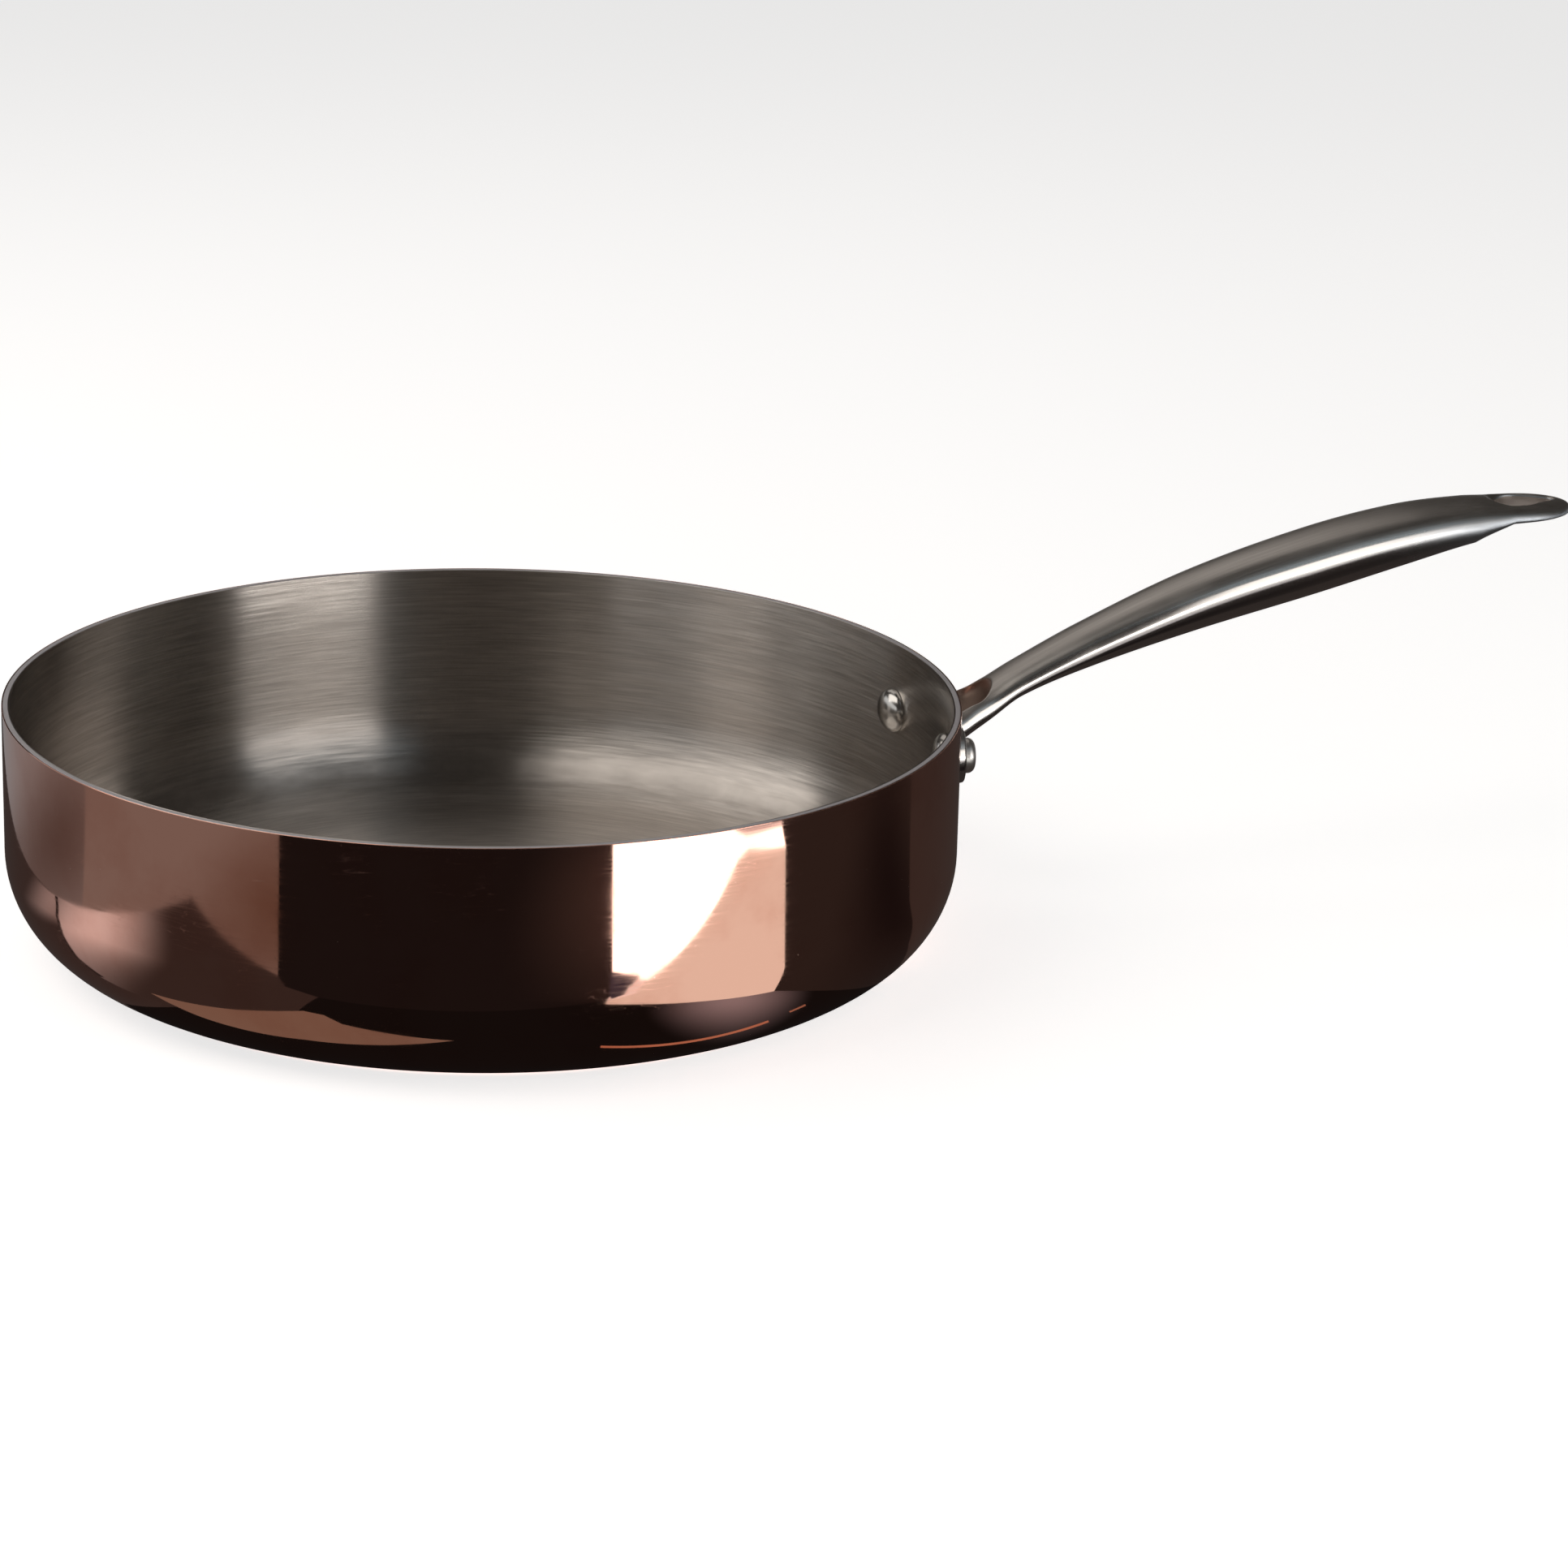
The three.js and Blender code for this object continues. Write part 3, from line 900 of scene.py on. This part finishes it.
def flange_rings():
    """Rings of points from the neck over the fillet and the plate's face, round its edge to its back."""
    handle = bpy.context.scene.pan_handle
    face = handle.wall_gap + handle.flange_thickness
    edge = handle.flange_rounding
    rings = []

    def fillet_place(angle, share):
        swing = share * math.pi / 2
        reach = face + handle.fillet * (1 - math.sin(swing))
        neck = Vector(section_point(reach, angle))
        outline = Vector(flange_point(angle, edge))
        free = (outline - Vector(section_point(face, angle))).length
        room = min(handle.fillet, FILLET_SHARE * free)
        return reach, neck + (outline - neck).normalized() * room * (1 - math.cos(swing)), outline

    for step in range(1, FILLET_STEPS + 1):
        places = [fillet_place(angle, step / FILLET_STEPS) for angle in ring_angles()]
        rings.append([on_wall(reach, spot.x, spot.y) for reach, spot, _ in places])
    for step in range(1, PLATE_STEPS + 1):
        spots = [spot.lerp(outline, step / PLATE_STEPS) for _, spot, outline in places]
        rings.append([on_wall(face, spot.x, spot.y) for spot in spots])
    for step in range(1, RIM_SEGMENTS + 1):
        swing = step / RIM_SEGMENTS * math.pi / 2
        inset = edge * (1 - math.sin(swing))
        reach = face - edge * (1 - math.cos(swing))
        rings.append([on_wall(reach, *flange_point(angle, inset)) for angle in ring_angles()])
    rings.append([on_wall(handle.wall_gap, *flange_point(angle, 0.0)) for angle in ring_angles()])
    for shrink in BACK_RINGS:
        spots = [shrink * Vector(flange_point(angle, 0.0)) for angle in ring_angles()]
        rings.append([on_wall(handle.wall_gap, spot.x, spot.y) for spot in spots])
    return rings


def body_reaches():
    """Reaches of the sections from the fillet to the tip, with one at the keel and one at the tongue."""
    handle = bpy.context.scene.pan_handle
    start = handle.wall_gap + handle.flange_thickness + handle.fillet
    nose_start = TIP_REACH - handle.tip_rounding
    reaches = []
    stops = (start, KEEL_REACH, TONGUE_REACH, nose_start)
    for low, high in zip(stops, stops[1:]):
        steps = math.ceil((high - low) / RING_PITCH)
        reaches += [low + (high - low) * step / steps for step in range(steps)]
    for step in range(NOSE_STEPS + 1):
        reaches.append(nose_start + handle.tip_rounding * math.sin(step / NOSE_STEPS * math.pi / 2))
    return reaches


def handle_body():
    """The handle before its hollows are cut: flange, neck, arched grip, keel and tongue in one skin."""
    bm = bmesh.new()
    reaches = body_reaches()
    sections = [
        [on_wall(reach, *section_point(reach, angle)) for angle in ring_angles()] for reach in reaches
    ]
    root = first_ring(bm, sections[0])
    ring = root
    for places in sections[1:]:
        ring = extend(bm, ring, places)
    ring = root
    for places in flange_rings():
        ring = extend(bm, ring, places)
    cap(bm, ring)
    seal(bm)
    return link_piece("cast_handle", bm)


def lip_profile(radius):
    """Outset and height of a softened edge: an arc that turns outwards, then its tangent."""
    profile = []
    for degrees in LIP_SWINGS:
        swing = math.radians(degrees)
        profile.append((radius * (1 - math.cos(swing)), radius * (math.sin(swing) - 1)))
    run = radius * LIP_RUN
    slope = math.tan(math.radians(90 - LIP_SWINGS[-1]))
    outset, height = profile[-1]
    profile.append((outset + run, height + run * slope))
    return profile


def scoop_cutter():
    """The hollow on top of the root: a round-nosed bowl with a softened lip, open to the wall."""
    handle = bpy.context.scene.pan_handle
    half = handle.scoop_width / 2
    nose = handle.scoop_nose
    centre = handle.scoop_reach - nose

    def outline(width, length_of_nose):
        pitch = (centre - SCOOP_BACK) / SCOOP_POINTS
        straight = [(SCOOP_BACK + pitch * step, -width) for step in range(SCOOP_POINTS)]
        bend = []
        for step in range(SCOOP_POINTS + 1):
            swing = -math.pi / 2 + math.pi * step / SCOOP_POINTS
            bend.append((centre + length_of_nose * math.cos(swing), width * math.sin(swing)))
        return straight + bend + [(reach, -across) for reach, across in reversed(straight)]

    def ring_places(width, length_of_nose, height):
        spots = outline(width, length_of_nose)
        return [
            Vector((SHELL_RADIUS + reach, across, RIVET_HEIGHT + surface_height(reach, across, 1) + height))
            for reach, across in spots
        ]

    lip = handle.scoop_lip
    rings = []
    for step in range(BOWL_STEPS, 0, -1):
        swing = step / BOWL_STEPS * math.pi / 2
        depth = lip + (handle.scoop_depth - lip) * math.sin(swing)
        rings.append(ring_places(half * math.cos(swing), nose * math.cos(swing), -depth))
    for outset, height in lip_profile(lip):
        rings.append(ring_places(half + outset, nose + outset, height))
    top = RIVET_HEIGHT + handle.scoop_reach + CUT_CLEARANCE
    rings.append([Vector((place.x, place.y, top)) for place in rings[-1]])
    return loft_cutter("scoop", rings)


def loft_cutter(name, rings):
    """A closed cutter over rings of points."""
    bm = bmesh.new()
    ring = first_ring(bm, rings[0])
    bottom = ring
    for places in rings[1:]:
        ring = extend(bm, ring, places)
    cap(bm, bottom)
    cap(bm, ring)
    bmesh.ops.remove_doubles(bm, verts=bm.verts[:], dist=WELD)
    bmesh.ops.dissolve_degenerate(bm, edges=bm.edges[:], dist=WELD)
    bmesh.ops.recalc_face_normals(bm, faces=bm.faces[:])
    return link_piece(name, bm)


def slot_outline():
    """Places along the slot's edge: middle of the end it turns round, radius there and heading."""
    handle = bpy.context.scene.pan_handle
    wide, narrow = handle.slot_width / 2, handle.slot_tip_width / 2
    touch = math.acos((wide - narrow) / handle.slot_span)
    spots = []
    for step in range(SLOT_STEPS):
        spots.append((handle.slot_span, narrow, touch * (2 * step / SLOT_STEPS - 1)))
    for step in range(SLOT_STEPS):
        share = step / SLOT_STEPS
        spots.append((handle.slot_span * (1 - share), narrow + (wide - narrow) * share, touch))
    for step in range(2 * SLOT_STEPS):
        spots.append((0.0, wide, touch + (math.tau - 2 * touch) * step / (2 * SLOT_STEPS)))
    for step in range(SLOT_STEPS):
        share = 1 - step / SLOT_STEPS
        spots.append((handle.slot_span * (1 - share), narrow + (wide - narrow) * share, -touch))
    return spots


def slot_cutter():
    """The hanging slot: two round ends, edges broken all round and a soft run-in from the grip."""
    handle = bpy.context.scene.pan_handle
    outline = slot_outline()

    def lip_radius(heading, side):
        if side < 0:
            return handle.slot_lip
        towards_grip = eased(-math.cos(heading))
        return handle.slot_lip + (handle.slot_run_in - handle.slot_lip) * towards_grip

    def ring_places(step, side):
        places = []
        for middle, radius, heading in outline:
            outset, height = lip_profile(lip_radius(heading, side))[step]
            reach = handle.slot_reach + middle + (radius + outset) * math.cos(heading)
            across = (radius + outset) * math.sin(heading)
            up = surface_height(reach, across, side) + side * height
            places.append(Vector((SHELL_RADIUS + reach, across, RIVET_HEIGHT + up)))
        return places

    steps = range(len(LIP_SWINGS) + 1)
    mouths = {side: [ring_places(step, side) for step in steps] for side in (1, -1)}
    ends = {
        side: [place + Vector((0, 0, side * CUT_CLEARANCE)) for place in mouths[side][-1]] for side in (1, -1)
    }
    return loft_cutter("slot", [ends[-1], *reversed(mouths[-1]), *mouths[1], ends[1]])


class PAN_OT_handle(Operator):
    """Loft the cast handle and cut its hollow, its hanging slot and its rivet holes"""

    bl_idname = "pan.handle"
    bl_label = "Cast Handle"

    def execute(self, context):
        piece = handle_body()
        for cutter in (scoop_cutter(), slot_cutter(), rivet_hole_cutter()):
            cut(piece, cutter)
        shade(piece, HANDLE_CREASE, weighted=False)
        deliver(piece, "handle", cast_steel(context.scene.pan_handle))
        return {"FINISHED"}


# Rivets


def build_rivet(name, side):
    """One rivet, turned in one piece: dome, shank and button."""
    rivets = bpy.context.scene.pan_rivets
    handle = bpy.context.scene.pan_handle
    dome_radius = rivets.dome_diameter / 2
    button_radius = rivets.button_diameter / 2
    shank_radius = rivets.shank_diameter / 2
    inside = LINING_RADIUS - bpy.context.scene.pan_vessel.lining_thickness
    dome_seat = math.sqrt(inside ** 2 - dome_radius ** 2) - rivets.seat_gap
    button_seat = SHELL_RADIUS + handle.wall_gap + handle.flange_thickness + rivets.seat_gap
    bm = bmesh.new()
    pole = bm.verts.new((0.0, 0.0, -1.0))
    bmesh.ops.spin(
        bm, geom=[pole], axis=(0, 1, 0), cent=(0, 0, 0), angle=-math.pi / 2, steps=DOME_STEPS
    )
    bmesh.ops.scale(bm, vec=(dome_radius, 1.0, rivets.dome_height), verts=bm.verts[:])
    bmesh.ops.translate(bm, vec=(0.0, 0.0, dome_seat), verts=bm.verts[:])
    brow = max(bm.verts, key=lambda vert: vert.co.x)
    chain = wire(bm, (
        (shank_radius, dome_seat), (shank_radius, button_seat), (button_radius, button_seat),
        (button_radius, button_seat + rivets.button_height), (0.0, button_seat + rivets.button_height),
    ))
    bm.edges.new((brow, chain[0]))
    round_corner(bm, chain[3], rivets.button_rounding, DOME_STEPS)
    turn(bm, RIVET_STEPS)
    bmesh.ops.transform(bm, matrix=rivet_axis(side), verts=bm.verts[:])
    piece = link_piece(name, bm)
    shade(piece, RIVET_CREASE)
    return piece


class PAN_OT_rivets(Operator):
    """Turn the two rivets that hold the handle"""

    bl_idname = "pan.rivets"
    bl_label = "Rivets"

    def execute(self, context):
        material = polished_steel(context.scene.pan_rivets)
        for name, node, side in (("left_rivet", "rivet_left", 1), ("right_rivet", "rivet_right", -1)):
            deliver(build_rivet(name, side), node, material)
        return {"FINISHED"}


# Stage

# The point that the camera and the lamps face, in metres, and how far from it the lamps stand
VIEW_TARGET = Vector((0.08544, -0.02801, 0.04979))
LAMP_REACH = 1.25

# Width of the camera's sensor in millimetres
SENSOR = 36.0

# Width of the floor in metres, the glow that makes it near white, and the dim light from all round
FLOOR_SIZE = 24.0
FLOOR_LIFT = 0.74
WORLD_COLOUR = (0.035, 0.031, 0.028)

# Height from one card to the next
CARD_STEP = 0.1 * MM

# Lamps: heading right of the camera's side, height angle and roll in degrees, width and height in metres,
# and radiance
LAMPS = (
    ("right_softbox", 49.6, 15.5, 0.0, (0.86, 0.78), (1.9, 1.82, 1.75)),
    ("right_strip", 49.6, 2.9, 0.0, (0.86, 0.094), (8.6, 8.3, 8.0)),
    ("left_softbox", -75.0, 47.0, 35.0, (1.48, 0.76), (1.42, 1.34, 1.25)),
    ("left_fill", -77.0, 12.0, 0.0, (2.4, 0.5), (0.70, 0.70, 0.70)),
    ("left_wash", -161.0, 51.0, 0.0, (1.0, 1.0), (0.50, 0.465, 0.435)),
    ("right_window", 52.0, 46.0, 0.0, (0.95, 0.5), (0.27, 0.33, 0.37)),
)

# The edge that two of the cards share, in millimetres right and in front of the pan
SHEET_LINE = ((-208, 30), (-201, 35), (-181, 45), (-156, 55), (-134, 66), (-118, 80))

# Painted reflections: glowing cards, no lamps, that stand in for a lit table, a paper sheet, the shadows on
# them and thin sparks round the pan. From the lowest to the top one: radiance, then corners in millimetres
# right and in front of the pan
REFLECTION_CARDS = (
    ("left_table", (0.21, 0.19, 0.18), (
        (-200, -260), (-200, 176), (-185, 178), (-160, 181), (-135, 186), (-112, 197), (-199, 286),
        (-500, 620), (-900, 620), (-900, -260),
    )),
    ("dim_table", (0.24, 0.25, 0.26), ((-200, -260), (-200, 65), (-312, 43), (-900, -75), (-900, -260))),
    ("far_left_table", (0.035, 0.029, 0.030), ((-100, -250), (-900, -250), (-900, -600), (-100, -600))),
    ("front_shade", (0.012, 0.010, 0.010), (
        (-112, 197), (-199, 286), (-500, 620), (-300, 900), (500, 900), (167, 319), (100, 218), (75, 185),
        (-70, 183),
    )),
    ("left_sheet", (0.040, 0.032, 0.030), (
        (-208, -260), (-210, 176), (-112, 197), (-70, 183), (-60, 150), (-100, 80), (-111, 0), (-100, -260),
    )),
    ("inner_sheet", (0.042, 0.034, 0.032), (
        (-208, -260), *SHEET_LINE, (-95, 105), (-85, 85), (-111, 0), (-100, -260),
    )),
    ("sheet_edge", (0.025, 0.020, 0.019), (
        *SHEET_LINE, (-117, 83), (-133, 69), (-155, 58), (-180, 48.5), (-200, 39), (-208, 34),
    )),
    ("front_sheet", (0.008, 0.007, 0.007), (
        (-70, 183), (79, 187), (124, 114), (140, 34), (100, 30), (0, 100), (-100, 80), (-90, 110), (-60, 150),
    )),
    ("sliver", (0.20, 0.152, 0.12), (
        (-103, 104), (-77, 131), (-59, 153), (-50, 154), (-40, 149), (0, 146), (-26, 137), (-46, 130),
        (-80, 114),
    )),
    ("right_sheet", (0.88, 0.87, 0.80), (
        (70, 177), (100, 137), (118, 112), (138, 116), (181, 125), (284, 146), (269, 191), (253, 199),
        (115, 199), (75, 185),
    )),
    ("white_card", (3.1, 3.1, 3.0), (
        (115, 198), (253, 198), (269, 191), (284, 146), (304, 156), (280, 200), (270, 320), (167, 319),
        (100, 218),
    )),
    ("beyond_card", (0.65, 0.62, 0.63), ((304, 156), (280, 200), (270, 320), (500, 500), (600, 200))),
    ("right_shade", (0.028, 0.023, 0.021), (
        (118, 112), (138, 116), (181, 125), (284, 146), (304, 156), (900, 250), (900, -320), (307, -87),
        (206, -17), (147, 11), (122, 20),
    )),
    ("far_right_shade", (0.044, 0.035, 0.032), (
        (128, 33), (147, 31), (206, 3), (307, -67), (900, -300), (900, -600), (150, -600), (140, -60),
    )),
    ("tip_shade", (0.05, 0.048, 0.07), ((99, 218), (113, 203), (100, 200), (80, 188), (86, 200))),
    ("spark", (0.46, 0.21, 0.13), ((44, 130.4), (93, 98.4), (93.8, 99.8), (44.6, 131.6))),
    ("spark_end", (0.36, 0.18, 0.12), ((101, 94), (107, 89.5), (107.7, 90.5), (101.7, 95))),
)

# Painted pools on the cards, some of light and some of shade: middle in millimetres right and in front of the
# pan, reach in millimetres, stretch along X, and radiance
PAINTED_POOLS = {
    "left_table": ((-150, 245), 125, 1.0, (0.13, 0.088, 0.068)),
    "dim_table": ((-255, 8), 130, 1.4, (0.10, 0.084, 0.080)),
    "front_shade": ((165, 255), 140, 1.0, (0.058, 0.044, 0.039)),
    "left_sheet": ((-195, 78), 72, 1.6, (0.70, 0.67, 0.68)),
    "inner_sheet": ((-206, 32), 42, 1.2, (0.30, 0.275, 0.275)),
    "front_sheet": ((105, 127), 40, 1.0, (0.28, 0.27, 0.31)),
    "right_shade": ((225, 20), 70, 3.0, (0.011, 0.008, 0.008)),
}


def sight(settings):
    """Level directions towards the camera and to its right."""
    towards = Vector((math.sin(settings.azimuth), -math.cos(settings.azimuth), 0.0))
    return towards, Vector((-towards.y, towards.x, 0.0))


def aim(item, back, distance, roll):
    """Put a camera or lamp a distance back from the pan, facing it, and roll it about its own axis."""
    item.rotation_mode = "QUATERNION"
    item.location = VIEW_TARGET + back * distance
    item.rotation_quaternion = (-back).to_track_quat("-Z", "Y") @ Quaternion((0, 0, 1), roll)
    bpy.context.scene.collection.objects.link(item)


def add_camera(settings):
    """The camera at the photograph's angle."""
    towards, _ = sight(settings)
    back = towards * math.cos(settings.elevation) + Vector((0, 0, math.sin(settings.elevation)))
    data = bpy.data.cameras.new("view")
    data.lens = settings.lens
    data.sensor_width = SENSOR
    camera = bpy.data.objects.new("view", data)
    aim(camera, back, settings.distance, settings.roll)
    bpy.context.scene.camera = camera


def floor_material(settings):
    """A pale floor: lit like paper, and lifted to near white where the camera or metal sees it."""
    material, tree = empty_material("pale_floor")
    paper = add_node(tree, "ShaderNodeBsdfDiffuse", {"Color": opaque(settings.floor)})
    path = add_node(tree, "ShaderNodeLightPath").outputs
    seen = larger(tree, path["Is Camera Ray"], path["Is Glossy Ray"])
    lift = add_node(tree, "ShaderNodeEmission", {"Strength": times(tree, seen, FLOOR_LIFT)})
    both = add_node(tree, "ShaderNodeAddShader", {0: paper.outputs[0], 1: lift.outputs[0]})
    add_node(tree, "ShaderNodeOutputMaterial", {"Surface": both.outputs[0]})
    return material


def add_floor(settings):
    """The floor that the pan stands on."""
    bm = bmesh.new()
    bmesh.ops.create_grid(bm, x_segments=1, y_segments=1, size=FLOOR_SIZE / 2)
    floor = link_piece("floor", bm)
    floor.data.materials.append(floor_material(settings))


def add_lamp(name, settings, heading, height, roll, size, radiance):
    """A soft box that faces the pan, a heading to the right of the camera's side and a height angle."""
    towards, right = sight(settings)
    level = towards * math.cos(math.radians(heading)) + right * math.sin(math.radians(heading))
    back = level * math.cos(math.radians(height)) + Vector((0, 0, math.sin(math.radians(height))))
    strength = max(radiance)
    data = bpy.data.lights.new(name, "AREA")
    data.shape = "RECTANGLE"
    data.size, data.size_y = size
    data.color = [part / strength for part in radiance]
    # The power that gives a lamp of this area its radiance
    data.energy = math.pi * size[0] * size[1] * strength
    lamp = bpy.data.objects.new(name, data)
    aim(lamp, back, LAMP_REACH, math.radians(roll))
    lamp.visible_camera = False


def on_floor(settings, spot):
    """A point of the floor that lies so many millimetres right and in front of the pan."""
    towards, to_right = sight(settings)
    return (to_right * spot[0] + towards * spot[1]) * MM


def reflection_card_material(name, settings, radiance):
    """A painted reflection: an even glow, with a soft painted pool of another glow, brighter or darker, where
    the card has a pool.
    """
    material, tree = empty_material(name)
    glow = add_node(tree, "ShaderNodeEmission", {"Color": opaque(radiance), "Strength": 1.0})
    if name in PAINTED_POOLS:
        middle, reach, stretch, pool_radiance = PAINTED_POOLS[name]
        offset = vector_maths(tree, "SUBTRACT", object_place(tree), on_floor(settings, middle))
        squeezed = vector_maths(tree, "DIVIDE", offset, (stretch, 1.0, 1.0))
        share = ranged(tree, length_of(tree, squeezed), 0.0, reach * MM, 1.0, 0.0)
        tree.links.new(blend(tree, share, opaque(radiance), opaque(pool_radiance)), glow.inputs["Color"])
    add_node(tree, "ShaderNodeOutputMaterial", {"Surface": glow.outputs[0]})
    return material


def add_reflection_card(name, settings, corners, radiance, level):
    """A flat glowing card on the floor that only the metal sees: a painted reflection, not a lamp."""
    bm = bmesh.new()
    spots = [on_floor(settings, corner) for corner in corners]
    ring = [bm.verts.new((spot.x, spot.y, level * CARD_STEP)) for spot in spots]
    for pair in neighbours(ring):
        bm.edges.new(pair)
    cap(bm, ring)
    bmesh.ops.recalc_face_normals(bm, faces=bm.faces[:])
    card = link_piece(name, bm)
    card.data.materials.append(reflection_card_material(name, settings, radiance))
    card.visible_camera = False
    card.visible_diffuse = False
    card.visible_transmission = False
    card.visible_shadow = False


class PAN_OT_stage(Operator):
    """Set the floor, the lamps, the glowing cards that paint reflections in the metal, and the camera"""

    bl_idname = "pan.stage"
    bl_label = "Studio"

    def execute(self, context):
        scene = context.scene
        settings = scene.pan_stage
        scene.view_settings.view_transform = "Standard"
        world = bpy.data.worlds.new("studio")
        world.use_nodes = True
        world.node_tree.nodes["Background"].inputs["Color"].default_value = opaque(WORLD_COLOUR)
        scene.world = world
        add_camera(settings)
        add_floor(settings)
        for name, *placing in LAMPS:
            add_lamp(name, settings, *placing)
        for level, (name, radiance, corners) in enumerate(REFLECTION_CARDS, 1):
            add_reflection_card(name, settings, corners, radiance, level)
        return {"FINISHED"}


class PAN_PT_sidebar(Panel):
    """The pan's pieces, its stage and their settings"""

    bl_idname = "PAN_PT_sidebar"
    bl_label = "Saute Pan"
    bl_space_type = "VIEW_3D"
    bl_region_type = "UI"
    bl_category = "Pan"

    def draw(self, context):
        for operator in PIECE_OPERATORS:
            self.layout.operator(operator.bl_idname)
        for name, group in SETTINGS.items():
            box = self.layout.box()
            for title in group.__annotations__:
                box.prop(getattr(context.scene, name), title)


PIECE_OPERATORS = (
    PAN_OT_copper_shell,
    PAN_OT_aluminium_core,
    PAN_OT_steel_lining,
    PAN_OT_handle,
    PAN_OT_rivets,
    PAN_OT_stage,
)
SETTINGS = {
    "pan_vessel": VesselSettings,
    "pan_rivets": RivetSettings,
    "pan_handle": HandleSettings,
    "pan_stage": StageSettings,
}
CLASSES = (*SETTINGS.values(), *PIECE_OPERATORS, PAN_PT_sidebar)


def register():
    """Make the settings, operators and panel known."""
    for item in CLASSES:
        bpy.utils.register_class(item)
    for name, group in SETTINGS.items():
        setattr(bpy.types.Scene, name, PointerProperty(type=group))


def unregister():
    """Take the settings, operators and panel away again."""
    for name in SETTINGS:
        delattr(bpy.types.Scene, name)
    for item in reversed(CLASSES):
        bpy.utils.unregister_class(item)


def main():
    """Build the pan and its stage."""
    register()
    bpy.ops.pan.copper_shell()
    bpy.ops.pan.aluminium_core()
    bpy.ops.pan.steel_lining()
    bpy.ops.pan.handle()
    bpy.ops.pan.rivets()
    bpy.ops.pan.stage()


if __name__ == "__main__":
    main()
